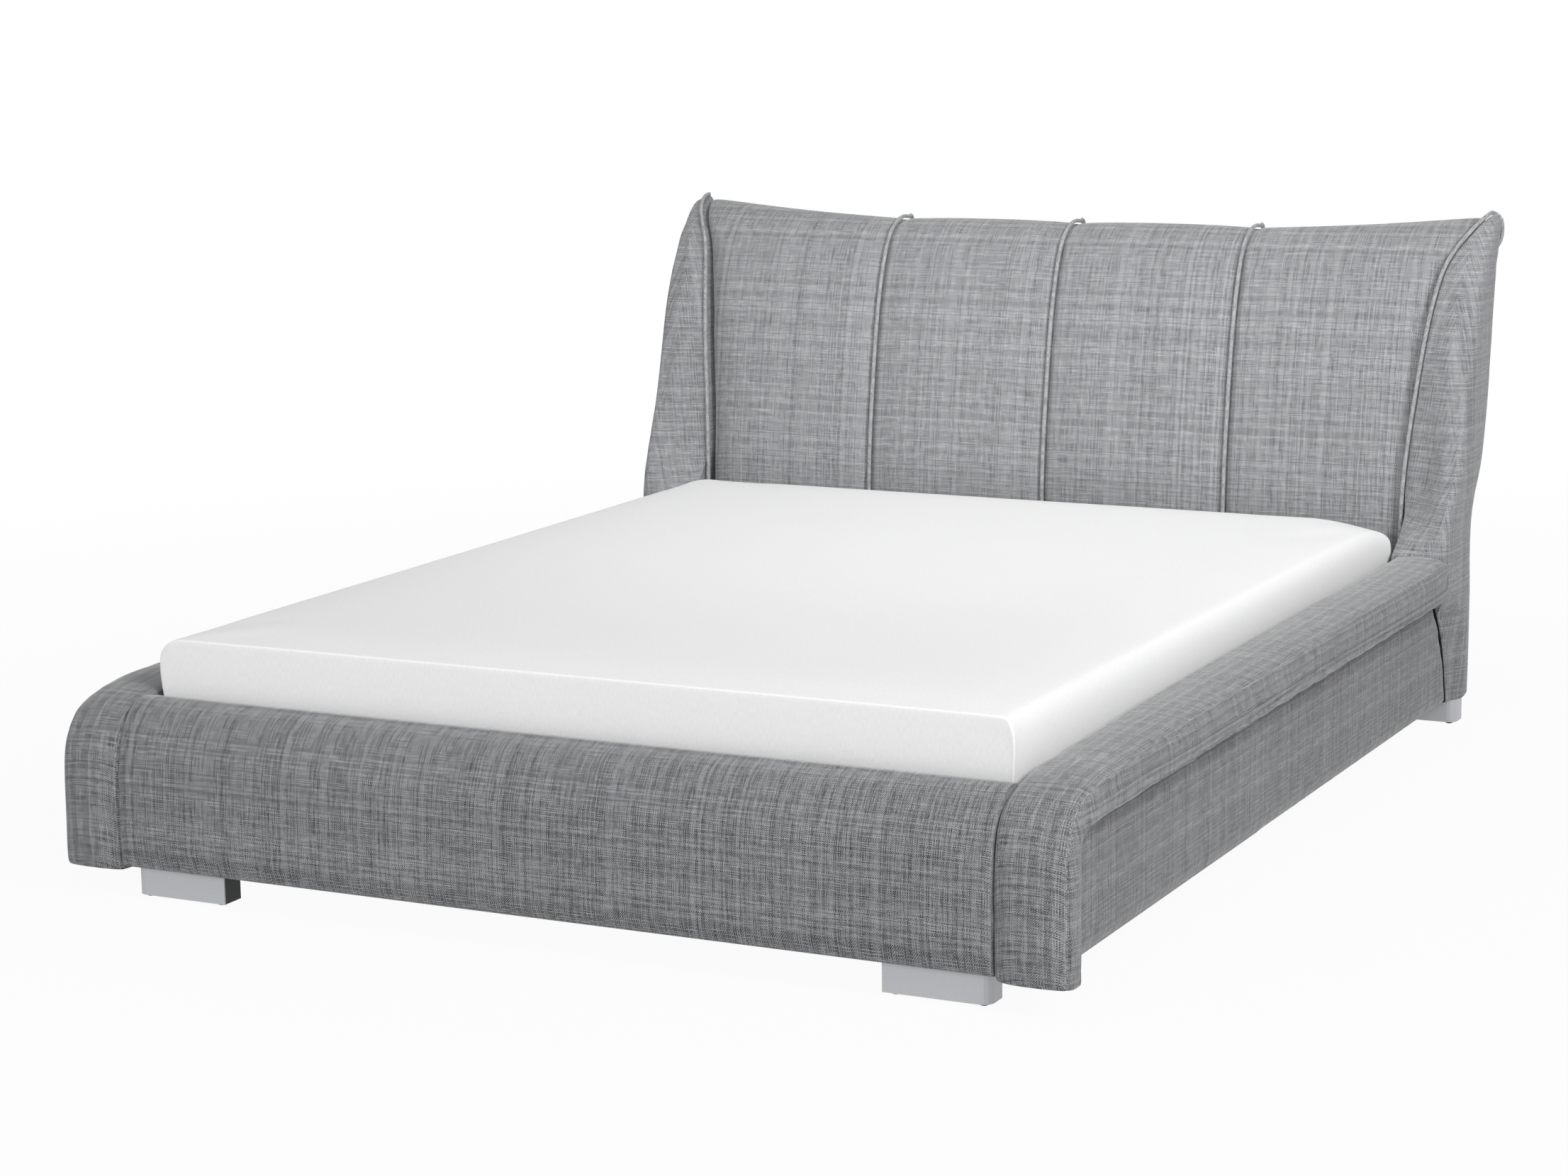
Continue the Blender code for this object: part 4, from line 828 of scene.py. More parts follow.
@dataclass(frozen=True)
class KnitCover:
    """White polyester jersey over quilting: a fine rib, matt and slightly fuzzy."""

    name: str = "polyester_jersey"
    colour: str = "#f2f2f2"
    shade: str = "#ececec"
    rib: float = 2.2 * MM
    rib_run: float = 0.2
    cloud: float = 300 * MM
    cloud_share: float = 0.15
    relief: float = 1.0 * MM

    def material(self) -> bpy.types.Material:
        """Build the node material.

        Returns:
            The new material.
        """
        made, tree, shader = new_material(self.name, roughness=0.88, specular_ior_level=0.2,
                                          sheen_weight=0.12, sheen_roughness=0.5)
        flat = add_node(tree, "UVMap", uv_map=WEAVE_MAP)
        mapping = add_node(tree, "Mapping", {"Vector": flat.outputs[0]},
                           {"Scale": (1 / self.rib, self.rib_run / self.rib, 1)})
        rib = add_node(tree, "TexNoise", {"Vector": mapping.outputs[0]},
                       {"Scale": 1.0, "Detail": 2.0}, noise_dimensions="2D")
        soft = add_node(tree, "TexNoise", {"Vector": flat.outputs[0]},
                        {"Scale": 1 / self.cloud, "Detail": 1.0}, noise_dimensions="2D")
        mixed = add_node(tree, "Math", {0: soft.outputs[0], 2: rib.outputs[0]},
                         {1: self.cloud_share}, operation="MULTIPLY_ADD")
        ramp = add_node(tree, "ValToRGB", {0: mixed.outputs[0]})
        set_ramp(ramp, ((0.35, self.shade), (0.8, self.colour)))
        tree.links.new(ramp.outputs[0], shader.inputs["Base Color"])
        bump = add_node(tree, "Bump", {"Height": mixed.outputs[0]},
                        {"Strength": 0.12, "Distance": self.relief})
        tree.links.new(bump.outputs[0], shader.inputs["Normal"])
        return made


@dataclass(frozen=True)
class Speckled:
    """A plain finish with a fine grain: foam, moulded plastic, foil, lacquer or plated steel."""

    name: str
    colour: str
    other: str
    grain: float
    roughness: float
    metallic: float = 0.0
    specular: float = 0.5
    bump: float = 0.1
    stretch: Point = (1.0, 1.0, 1.0)
    coat: float = 0.0
    wear: float = 0.16
    relief: float = 0.4 * MM

    def material(self) -> bpy.types.Material:
        """Build the node material.

        Returns:
            The new material.
        """
        made, tree, shader = new_material(self.name, roughness=self.roughness,
                                          metallic=self.metallic, coat_weight=self.coat,
                                          specular_ior_level=self.specular)
        place = add_node(tree, "TexCoord")
        mapping = add_node(tree, "Mapping", {"Vector": place.outputs["Object"]},
                           {"Scale": tuple(part / self.grain for part in self.stretch)})
        grain = add_node(tree, "TexNoise", {"Vector": mapping.outputs[0]},
                         {"Scale": 1.0, "Detail": 4.0, "Roughness": 0.6})
        ramp = add_node(tree, "ValToRGB", {0: grain.outputs[0]})
        set_ramp(ramp, ((0.35, self.other), (0.65, self.colour)))
        tree.links.new(ramp.outputs[0], shader.inputs["Base Color"])
        worn = add_node(tree, "Math", {0: grain.outputs[0]},
                        {1: self.wear, 2: self.roughness - self.wear / 2},
                        operation="MULTIPLY_ADD")
        tree.links.new(worn.outputs[0], shader.inputs["Roughness"])
        bump = add_node(tree, "Bump", {"Height": grain.outputs[0]},
                        {"Strength": self.bump, "Distance": self.relief})
        tree.links.new(bump.outputs[0], shader.inputs["Normal"])
        return made


class Finish(Enum):
    """The finishes of the bed's pieces."""

    # Uneven yarn in light and dark, which the eye takes for linen.
    FRAME = LinenWeave("linen_look_polyester")
    # The rail pads' copy of the same cloth is a shade lighter, as painted light on their lit tops.
    PAD = LinenWeave("linen_look_polyester_pad", dark="#222325", middle="#666769", light="#a7a8aa")
    # The headboard's and cheeks' copy of the same cloth is painted lighter, as painted light from
    # above on the headboard.
    HEAD = LinenWeave("linen_look_polyester_headboard", dark="#494a4c", middle="#7d7e80",
                      light="#b3b4b6")
    # The same cloth cut on the bias, so that its threads wind round the cord, and painted lighter
    # as a painted highlight on the raised cord.
    PIPING = LinenWeave("linen_look_polyester_bias", dark="#58595b", middle="#8d8e90",
                        light="#c3c4c5", turn=math.pi / 4, slub_share=0.5)
    KNIT = KnitCover()
    # A dull thread that shows as a dotted line, and a black strip that paints the slot's shade.
    SEAM = Speckled("polyester_sewing_thread", "#6c6e71", "#5c5e61", 1.2 * MM, 0.8, specular=0.2)
    SLOT_SHADE_STRIP = Speckled("black_slot_painted_shade", "#161617", "#101011", 1.5 * MM, 0.95,
                      specular=0.1)
    # Satin paint with a soft sheen, matt mouldings, and plated steel that mirrors the studio.
    LEG = Speckled("silver_lacquered_steel", "#b9babd", "#b1b2b5", 1.5 * MM, 0.42, metallic=0.55,
                   bump=0.05, coat=0.1)
    BLOCK = Speckled("black_polypropylene", "#26272a", "#1d1e20", 1.0 * MM, 0.55)
    STEEL = Speckled("zinc_plated_steel", "#b4b5b6", "#9d9ea0", 4.0 * MM, 0.38, metallic=1.0)
    # Dull dark boards. The frame's own spruce is black as painted shade, so that a gap beside a
    # cover shows less.
    BOARD = Speckled("black_foiled_chipboard", "#2c2c2e", "#242426", 2.5 * MM, 0.6)
    TIMBER_PAINTED_SHADE = Speckled("black_stained_spruce", "#2d2926", "#1e1b19", 14 * MM, 0.7, bump=0.25,
                      stretch=(0.06, 1.0, 1.0))
    # Open-pored foam without any gloss, against vinyl that is smooth and shines.
    FOAM = Speckled("polyurethane_foam", "#e8dcab", "#d9ca92", 3.0 * MM, 0.95, specular=0.15,
                    bump=0.7)
    VINYL = Speckled("blue_soft_vinyl", "#2f5f9f", "#2a568f", 30 * MM, 0.3, bump=0.12)
    LINER = Speckled("black_vinyl_film", "#2a2b2d", "#222325", 20 * MM, 0.4, bump=0.2)
    HEATER = Speckled("laminated_vinyl_heater", "#3a3b3d", "#323335", 6 * MM, 0.5)
    CAP = Speckled("white_moulded_plastic", "#e6e6e2", "#dededa", 2.0 * MM, 0.35)
    NICKEL = Speckled("nickel_plated_zinc", "#c9c9c6", "#bcbcb8", 2.0 * MM, 0.25, metallic=1.0)


class FinishStore:
    """Builds each finish's material once and hands it out."""

    def __init__(self) -> None:
        """Start with nothing built."""
        self.made: dict[Finish, bpy.types.Material] = {}

    def get(self, finish: Finish) -> bpy.types.Material:
        """Give the material of a finish.

        Args:
            finish: The finish.

        Returns:
            Its material, built on its first call.
        """
        if finish not in self.made:
            self.made[finish] = finish.value.material()
        return self.made[finish]

    def dress(self, piece: bpy.types.Object, finish: Finish) -> None:
        """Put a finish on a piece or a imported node."""
        piece.data.materials.clear()
        piece.data.materials.append(self.get(finish))


# Sub-assemblies
class Side(Enum):
    """The bed's two sides, seen from its foot end."""

    LEFT = -1
    RIGHT = 1

    @property
    def word(self) -> str:
        """The side's name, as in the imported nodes."""
        return self.name.lower()


@dataclass
class Assembly:
    """A group of pieces that belong together."""

    store: FinishStore

    def hand_over(self, piece: bpy.types.Object, body: str, finish: Finish, slot: str,
                  nodes: Sequence[str] = (), fill: float | None = None) -> None:
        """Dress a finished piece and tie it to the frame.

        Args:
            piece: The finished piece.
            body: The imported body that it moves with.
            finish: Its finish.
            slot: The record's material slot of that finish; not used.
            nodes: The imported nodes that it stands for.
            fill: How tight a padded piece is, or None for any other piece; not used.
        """
        self.store.dress(piece, finish)
        make_active(piece)
        bpy.ops.object.shade_smooth_by_angle(angle=SMOOTH_ANGLE)
        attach(piece, body)
        if nodes:
            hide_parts(*nodes)
        LOG.info("%s: %d faces on %s", piece.name, len(piece.data.polygons), body)

    def keep_node(self, node: str, finish: Finish) -> None:
        """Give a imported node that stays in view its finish."""
        self.store.dress(bpy.data.objects[node], finish)
        LOG.info("%s keeps its solid", node)


@dataclass
class Mattress(Assembly):
    """Zip-off cover of the water mattress: a lid with soft edges on a low tray."""

    half: float = 800 * MM
    inset: float = 1.3 * MM
    wall: float = 6 * MM
    tray_wall: float = 5 * MM
    cell: float = 60 * MM
    crown: float = 6 * MM
    pressure: float = 3.0
    zip_strip: float = 4 * MM
    foot_edge: float = 3 * MM
    foot_band: float = 25 * MM
    left_edge: float = 32 * MM
    right_edge: float = 15 * MM
    head_edge: float = 34 * MM
    edge_depth: float = 34 * MM
    edge_cuts: tuple[float, ...] = (0.5, 1)
    top_cuts: tuple[float, ...] = (0.5, 1, 2)
    left_corner: float = 45 * MM
    right_corner: float = 16 * MM
    corner_sag: float = 29 * MM
    sag_reach: float = 155 * MM
    left_belly: float = 13 * MM
    right_belly: float = 9 * MM
    belly_low: float = 1.45
    belly_from: float = 0.9
    belly_band: float = 0.1

    def build(self) -> None:
        """Build the lid and the tray."""
        self.build_lid()
        self.build_tray()

    def build_lid(self) -> None:
        """Build the lid, which is shaped as a full block and then hollowed."""
        low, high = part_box("cover_top")
        foot, head, top = low.y + self.inset, high.y - self.inset, high.z - self.crown
        lid = add_block("mattress_cover_lid", Vector((-self.half, foot, low.z)),
                        Vector((self.half, head, top)))
        slice_evenly(lid, 0, self.cell)
        slice_evenly(lid, 1, self.cell)
        slice_at(lid, 0, [self.left_edge * share - self.half for share in self.edge_cuts])
        slice_at(lid, 0, [self.half - self.right_edge * share for share in self.edge_cuts])
        slice_at(lid, 1, [head - self.head_edge * share for share in self.edge_cuts])
        slice_at(lid, 1, [foot + self.foot_band])
        slice_at(lid, 2, [top - self.edge_depth * share for share in self.top_cuts])
        self.round_corners(lid, head)
        self.round_top(lid, head, top)
        sink_corner(lid, low.z, top, Vector((self.half, head)), self.corner_sag, self.sag_reach)
        bevel_edges(lid, self.foot_edge, 2,
                    lambda edge: all(abs(v.co.y - foot) < TOUCH for v in edge.verts)
                    and is_square(edge) and edge_middle(edge).z > low.z + TOUCH)
        self.swell_sides(lid, low.z, top)
        smooth_out(lid, 1)
        Filling(pressure=self.pressure, most_swell=self.crown).swell(
            lid, lambda place, facing: place.z < low.z + self.zip_strip)
        self.hollow(lid, low.z, self.wall)
        lay_cloth(lid, Lie.FLAT)
        smooth_out(lid, 1)
        self.hand_over(lid, "mattress_lid", Finish.KNIT, "cover_top", ["cover_top"], fill=0.9)

    def round_corners(self, block: bpy.types.Object, head: float) -> None:
        """Round the two upright corners at the head end, seen from above.

        Args:
            block: The lid or the tray.
            head: Where its head end lies.
        """
        for vertex in block.data.vertices:
            radius = self.right_corner if vertex.co.x > 0 else self.left_corner
            beyond_x = abs(vertex.co.x) - (self.half - radius)
            beyond_y = vertex.co.y - (head - radius)
            if beyond_x > 0 and beyond_y > 0:
                kept = draw_corner(beyond_x, beyond_y)
                vertex.co.x = math.copysign(self.half - radius + beyond_x * kept, vertex.co.x)
                vertex.co.y = head - radius + beyond_y * kept

    def round_top(self, block: bpy.types.Object, head: float, top: float) -> None:
        """Round the top edge at both sides and the head end, each with its own softness.

        Args:
            block: The lid.
            head: Where its head end lies.
            top: Height of its top.
        """
        for vertex in block.data.vertices:
            side = self.right_edge if vertex.co.x > 0 else self.left_edge
            beyond = (max(0.0, abs(vertex.co.x) - (self.half - side)) / side,
                      max(0.0, vertex.co.y - (head - self.head_edge)) / self.head_edge,
                      max(0.0, vertex.co.z - (top - self.edge_depth)) / self.edge_depth)
            sideways = min(1.0, math.hypot(beyond[0], beyond[1]))
            if sideways > 0 and beyond[2] > 0:
                kept = draw_corner(sideways, beyond[2])
                vertex.co.x -= math.copysign(beyond[0] * side * (1 - kept), vertex.co.x)
                vertex.co.y -= beyond[1] * self.head_edge * (1 - kept)
                vertex.co.z = top - self.edge_depth + beyond[2] * self.edge_depth * kept

    def swell_sides(self, lid: bpy.types.Object, low: float, top: float) -> None:
        """Let the long sides belly out between their top edge and the zip.

        Args:
            lid: The lid.
            low: Height of the zip.
            top: Height of the lid's top.
        """
        for vertex in lid.data.vertices:
            share = (vertex.co.z - low) / (top - low)
            near = abs(vertex.co.x) / self.half
            if near > self.belly_from and 0 < share < 1:
                belly = self.right_belly if vertex.co.x > 0 else self.left_belly
                out = belly * math.sin(math.pi * share ** self.belly_low) \
                    * (near - self.belly_from) / self.belly_band
                vertex.co.x += math.copysign(out, vertex.co.x)

    def hollow(self, shell: bpy.types.Object, open_height: float, wall: float) -> None:
        """Take away the face at a height and give what stays a wall.

        Args:
            shell: The lid or the tray.
            open_height: Height of the face that goes.
            wall: Thickness of the wall.
        """
        with editing(shell):
            mesh = bmesh.from_edit_mesh(shell.data)
            bpy.ops.mesh.select_all(action="DESELECT")
            for face in mesh.faces:
                if abs(face.calc_center_median().z - open_height) < LEVEL:
                    face.select_set(True)
            bmesh.update_edit_mesh(shell.data)
            bpy.ops.mesh.delete(type="FACE")
        apply_step(shell, "SOLIDIFY", thickness=wall, offset=-1.0)

    def build_tray(self) -> None:
        """Build the tray that the lid is zipped to."""
        low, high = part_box("cover_base")
        foot, head = low.y + self.inset, high.y - self.inset
        tray = add_block("mattress_cover_tray", Vector((-self.half, foot, low.z)),
                         Vector((self.half, head, high.z)))
        slice_evenly(tray, 0, 2 * self.cell)
        slice_evenly(tray, 1, 2 * self.cell)
        self.round_corners(tray, head)
        bevel_edges(tray, self.foot_edge, 2,
                    lambda edge: all(abs(v.co.z - low.z) < TOUCH for v in edge.verts)
                    and is_square(edge))
        self.hollow(tray, high.z, self.tray_wall)
        lay_cloth(tray, Lie.FLAT)
        self.hand_over(tray, "bed", Finish.KNIT, "cover_base", ["cover_base"], fill=0.5)


@dataclass
class FootEnd(Assembly):
    """Padded foot panel with a rolled top edge."""

    end_edge: float = 2.5 * MM
    end_angle: float = 1.2
    cell: float = 40 * MM
    held_back: float = 30 * MM
    held_end: float = 8 * MM
    held_hem: float = 6 * MM
    filling: Filling = Filling(most_swell=3.5 * MM, slack=0.004)
    gathers: Gathers = Gathers(depth=2.2 * MM, wave=34 * MM, reach=45 * MM)

    def build(self) -> None:
        """Build the panel."""
        low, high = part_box("foot_panel")
        panel = copy_solid("foot_panel", "foot_panel_cover", True)
        bevel_edges(panel, self.end_edge, 2,
                    lambda edge: abs(abs(edge_middle(edge).x) - high.x) < TOUCH
                    and edge_angle(edge) > self.end_angle)
        slice_evenly(panel, 0, self.cell)
        smooth_out(panel, 2)

        def is_held(place: Vector, facing: Vector) -> bool:
            """Whether the cloth is stapled down: at the back, the ends and the hem."""
            return place.y > high.y - self.held_back or place.z < low.z + self.held_hem \
                or abs(place.x) > high.x - self.held_end

        self.filling.swell(panel, is_held)
        lay_cloth(panel, Lie.FOOT)
        smooth_out(panel, 1)

        def seam(place: Vector, facing: Vector) -> tuple[float, float]:
            """Pull of the two upright end seams."""
            return fading(high.x - abs(place.x), self.gathers.reach), place.z + place.y

        self.gathers.draw(panel, seam)
        self.hand_over(panel, "bed", Finish.FRAME, "frame_fabric", ["foot_panel"], fill=0.9)


@dataclass
class SideOfBed(Assembly):
    """One side rail and the pad that lies on it and curves down over the bed's corner."""

    side: Side = Side.LEFT
    cell: float = 45 * MM
    rail_edge: float = 4 * MM
    rail_skin: float = 4 * MM
    rail_filling: Filling = Filling(most_swell=3.0 * MM, slack=0.003)
    rail_gathers: Gathers = Gathers(depth=2.5 * MM, wave=60 * MM, reach=60 * MM)
    gathered_skin: float = 8 * MM
    tuck_height: float = 42 * MM
    tuck_depth: float = 9 * MM
    tuck_skin: float = 10 * MM
    tuck_end: float = 840 * MM
    tuck_fade: float = 80 * MM
    outwards: float = 0.6
    pad_crease: float = 0.75
    pad_angle: float = math.radians(38)
    pad_filling: Filling = Filling(most_swell=3.0 * MM, slack=0.004)
    pad_gathers: Gathers = Gathers(depth=3.0 * MM, wave=55 * MM, reach=30 * MM)
    pad_skin: float = 12 * MM
    pad_hem: float = 295 * MM
    roll: float = 45 * MM
    roll_repeat: int = 12
    roll_drop: float = 62 * MM
    roll_front: float = 58 * MM
    roll_foot: float = 12 * MM
    roll_under: float = -0.4
    held_under: float = -0.5
    held_inner: float = 2 * MM
    held_back: float = 4 * MM
    held_foot: float = 6 * MM
    seam_height: float = 318 * MM
    seam_foot: float = -1120 * MM
    seam_rise: float = 4 * MM
    seam_short: float = 6 * MM

    def build(self) -> None:
        """Build the rail's cover and the pad."""
        self.build_rail()
        self.build_pad()

    def build_rail(self) -> None:
        """Build the rail's padded cover."""
        node = "side_rail_" + self.side.word
        low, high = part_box(node)
        rail = copy_solid(node, node + "_cover", True)
        bevel_edges(rail, self.rail_edge, 2, is_square)
        slice_evenly(rail, 1, self.cell)
        slice_evenly(rail, 2, self.cell)
        smooth_out(rail, 1)
        outer = max(abs(low.x), abs(high.x))
        self.rail_filling.swell(rail, lambda place, facing: abs(place.x) < outer - self.rail_skin)
        self.tuck_under(rail, outer, high.z)
        lay_cloth(rail, Lie.RAIL)
        smooth_out(rail, 1)

        def seam(place: Vector, facing: Vector) -> tuple[float, float]:
            """Pull of the seam along the rail's top, on its outer face alone."""
            on_face = abs(facing.x) >= self.outwards and abs(place.x) >= outer - self.gathered_skin
            return on_face * fading(high.z - place.z, self.rail_gathers.reach), place.y

        self.rail_gathers.draw(rail, seam)
        self.hand_over(rail, "bed", Finish.FRAME, "frame_fabric", [node], fill=0.9)

    def tuck_under(self, rail: bpy.types.Object, outer: float, top: float) -> None:
        """Draw the rail's cover in under the pad's lower edge, up to the slot at the cheek.

        Args:
            rail: The rail's cover.
            outer: Distance of its outer face from the bed's middle.
            top: Height of its top.
        """
        for vertex in rail.data.vertices:
            up = (vertex.co.z - top) / self.tuck_height + 1
            before_slot = within_one((self.tuck_end - vertex.co.y) / self.tuck_fade)
            if up > 0 and abs(vertex.co.x) > outer - self.tuck_skin:
                vertex.co.x -= self.side.value * self.tuck_depth * up * up * before_slot

    def build_pad(self) -> None:
        """Build the pad."""
        node = "rail_pad_" + self.side.word
        low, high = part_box(node)
        pad = copy_solid(node, node + "_cover", False)
        split_long_edges(pad, 1, self.cell)
        crease_sharp(pad, self.pad_crease, self.pad_angle)
        smooth_out(pad, 2)
        inner, outer = sorted((abs(low.x), abs(high.x)))
        lower_edge, back_edge = high.z - self.roll_drop, low.y + self.roll_front

        def is_outer_roll(place: Vector, facing: Vector) -> bool:
            """Whether a place is on the outer shoulder, along the rail or down the corner.

            Args:
                place: The place.
                facing: The way that the pad faces there.

            Returns:
                True on the shoulder.
            """
            along_rail = place.z > lower_edge and place.y > back_edge
            down_corner = place.y < back_edge and place.z > low.z + self.roll_foot
            return abs(place.x) > outer - self.roll and facing.z > self.roll_under \
                and (along_rail or down_corner)

        soften(pad, self.roll_repeat, is_outer_roll)

        def is_held(place: Vector, facing: Vector) -> bool:
            """Whether the cloth is stapled down: underneath, at the mattress and at both ends."""
            under = facing.z < self.held_under or abs(place.x) < inner + self.held_inner
            return under or place.y > high.y - self.held_back or place.z < low.z + self.held_foot

        self.pad_filling.swell(pad, is_held)
        lay_cloth(pad, Lie.RAIL)
        smooth_out(pad, 1)

        def seam(place: Vector, facing: Vector) -> tuple[float, float]:
            """Pull of the seam above the pad's lower edge, on its outer face alone."""
            on_face = abs(place.x) >= outer - self.pad_skin and facing.z <= self.outwards
            return on_face * fading(place.z - self.pad_hem, self.pad_gathers.reach), place.y

        self.pad_gathers.draw(pad, seam)
        self.hand_over(pad, "bed", Finish.PAD, "frame_fabric", [node], fill=0.9)
        line = [Vector((0, self.seam_foot, self.seam_height)),
                Vector((0, high.y - self.seam_short, self.seam_height + self.seam_rise))]
        row = Stitching(pad, line, Vector((-self.side.value, 0, 0))).sew(node + "_seam")
        self.hand_over(row, "bed", Finish.SEAM, "frame_fabric")


@dataclass
class Cheek(Assembly):
    """One cheek of the headboard, and the slot that parts it from the side rail.

    The slot's line holds a height and the place of the cheek's front edge at that height.
    """

    side: Side = Side.LEFT
    cell: float = 70 * MM
    crease: float = 0.75
    crease_angle: float = math.radians(40)
    filling: Filling = Filling(most_swell=3.0 * MM, slack=0.003)
    held_facing: float = 0.5
    roll_from: float = 0.33
    roll_to: float = 0.96
    roll_inner: float = 0.855
    roll_behind: float = 0.3
    roll_inwards: float = -0.2
    roll_repeat: int = 24
    flare: float = 8 * MM
    flare_from: float = 0.40
    flare_height: float = 0.16
    flare_inner: float = 0.87
    flare_band: float = 40 * MM
    flare_less: float = 0.6
    less_from: float = 0.95
    less_height: float = 80 * MM
    tip_corner: tuple[float, float] = (0.928, 1.040)
    tip_radius: float = 16 * MM
    tip_lift: float = 3.2 * MM
    lift_from: float = 0.99
    lift_height: float = 45 * MM
    tip_rear: float = 1.195
    tip_fall: float = 0.45
    tip_draw: float = 0.5
    rear_from: float = 1.0
    rear_height: float = 30 * MM
    rail_face: float = 0.8955
    slot_line: tuple[tuple[float, float], ...] = (
        (0.053, 0.9680), (0.1494, 0.9447), (0.2241, 0.9081), (0.2747, 0.8681), (0.294, 0.8570))
    slot_wide: float = 4 * MM
    slot_deep: float = 2 * MM
    slot_seam: float = 12 * MM
    tuck_reach: float = 75 * MM
    tuck_over: float = 3 * MM
    tuck_fade: float = 50 * MM
    # Sizes of the black strip that paints the slot's shade.
    shade_strip_thick: float = 6 * MM
    shade_strip_front: float = 5 * MM
    shade_strip_back: float = 3 * MM

    def build(self) -> None:
        """Build the cheek's cover with its row of stitches, and the black strip of painted shade in
        the slot.
        """
        self.build_cover()
        self.build_slot_shade_strip()

    def build_cover(self) -> None:
        """Build the cover and its stitches."""
        node = "headboard_wing_" + self.side.word
        wing = copy_solid(node, node + "_cover", False)
        split_long_edges(wing, 1, self.cell)
        crease_sharp(wing, self.crease, self.crease_angle)
        smooth_out(wing, 2)
        self.tuck_to_rail(wing)
        soften(wing, self.roll_repeat, self.is_front_roll)
        self.flare_tip(wing)
        self.filling.swell(wing, self.is_held)
        lay_cloth(wing, Lie.WING)
        smooth_out(wing, 1)
        self.hand_over(wing, "bed", Finish.HEAD, "frame_fabric", [node], fill=0.9)
        line = [Vector((0, front + self.slot_seam, height)) for height, front in self.slot_line]
        row = Stitching(wing, line, Vector((-self.side.value, 0, 0))).sew(node + "_seam")
        self.hand_over(row, "bed", Finish.SEAM, "frame_fabric")

    def is_front_roll(self, place: Vector, facing: Vector) -> bool:
        """Whether a place is on the outer shoulder of the cheek's front, above the pad.

        Args:
            place: The place.
            facing: The way that the cheek faces there.

        Returns:
            True on the shoulder.
        """
        out, turned = place.x * self.side.value, facing.x * self.side.value
        return self.roll_from < place.z < self.roll_to and out > self.roll_inner \
            and facing.y < self.roll_behind and turned > self.roll_inwards

    def is_held(self, place: Vector, facing: Vector) -> bool:
        """Whether the cloth is stapled down: on the inner side, at the back and underneath."""
        return facing.x * self.side.value < -self.held_facing or facing.y > self.held_facing \
            or facing.z < -self.held_facing

    def flare_tip(self, wing: bpy.types.Object) -> None:
        """Let the cheek's outer side belly out above the pad, and round its upper corner.

        Args:
            wing: The cheek's cover.
        """
        sign = self.side.value
        middle_x, middle_z = (part - self.tip_radius for part in self.tip_corner)
        for vertex in wing.data.vertices:
            place = vertex.co
            up = within_one((place.z - self.flare_from) / self.flare_height)
            out = within_one((place.x * sign - self.flare_inner) / self.flare_band)
            if up > 0 and out > 0:
                near_tip = within_one((place.z - self.less_from) / self.less_height)
                place.z += self.tip_lift * within_one((place.z - self.lift_from) / self.lift_height)
                behind = max(0.0, place.y - self.tip_rear) \
                    * within_one((place.z - self.rear_from) / self.rear_height)
                place.z -= self.tip_fall * behind
                place.y -= self.tip_draw * behind
                place.x += sign * self.flare * eased(up) * out * (1 - self.flare_less * near_tip)
            beyond_x, beyond_z = place.x * sign - middle_x, place.z - middle_z
            if beyond_x > 0 and beyond_z > 0:
                kept = draw_corner(beyond_x, beyond_z)
                place.x = sign * (middle_x + beyond_x * kept)
                place.z = middle_z + beyond_z * kept

    def tuck_to_rail(self, wing: bpy.types.Object) -> None:
        """Draw the cheek's lower front in, so that it lies flush with the rail beside the slot.

        Args:
            wing: The cheek's cover.
        """
        sign = self.side.value
        slot_top, slot_end = self.slot_line[-1]
        for vertex in wing.data.vertices:
            place = vertex.co
            out = place.x * sign - self.rail_face
            if out <= 0 or place.z > slot_top + self.tuck_over:
                continue
            front = next((a[1] + (b[1] - a[1]) * (place.z - a[0]) / (b[0] - a[0])
                          for a, b in zip(self.slot_line, self.slot_line[1:]) if place.z <= b[0]),
                         slot_end)
            kept = eased(within_one((place.y - front) / self.tuck_reach))
            above = within_one((slot_top + self.tuck_over - place.z) / self.tuck_fade)
            place.x -= sign * out * (1 - kept) * above
            place.y += self.slot_wide * (1 - kept) * above

    def build_slot_shade_strip(self) -> None:
        """Build the black strip in the slot between rail and cheek, as painted shade."""
        mesh = bmesh.new()
        face = self.rail_face - self.slot_deep
        rear = face - self.shade_strip_thick
        rings = []
        for height, front in self.slot_line:
            start, end = front - self.shade_strip_front, front + self.slot_wide + self.shade_strip_back
            corners = ((face, start), (face, end), (rear, end), (rear, start))
            rings.append([mesh.verts.new((self.side.value * x, y, height)) for x, y in corners])
        join_rings(mesh, rings)
        shade_strip = piece_from(mesh, "slot_painted_shade_" + self.side.word)
        self.hand_over(shade_strip, "bed", Finish.SLOT_SHADE_STRIP, "block")


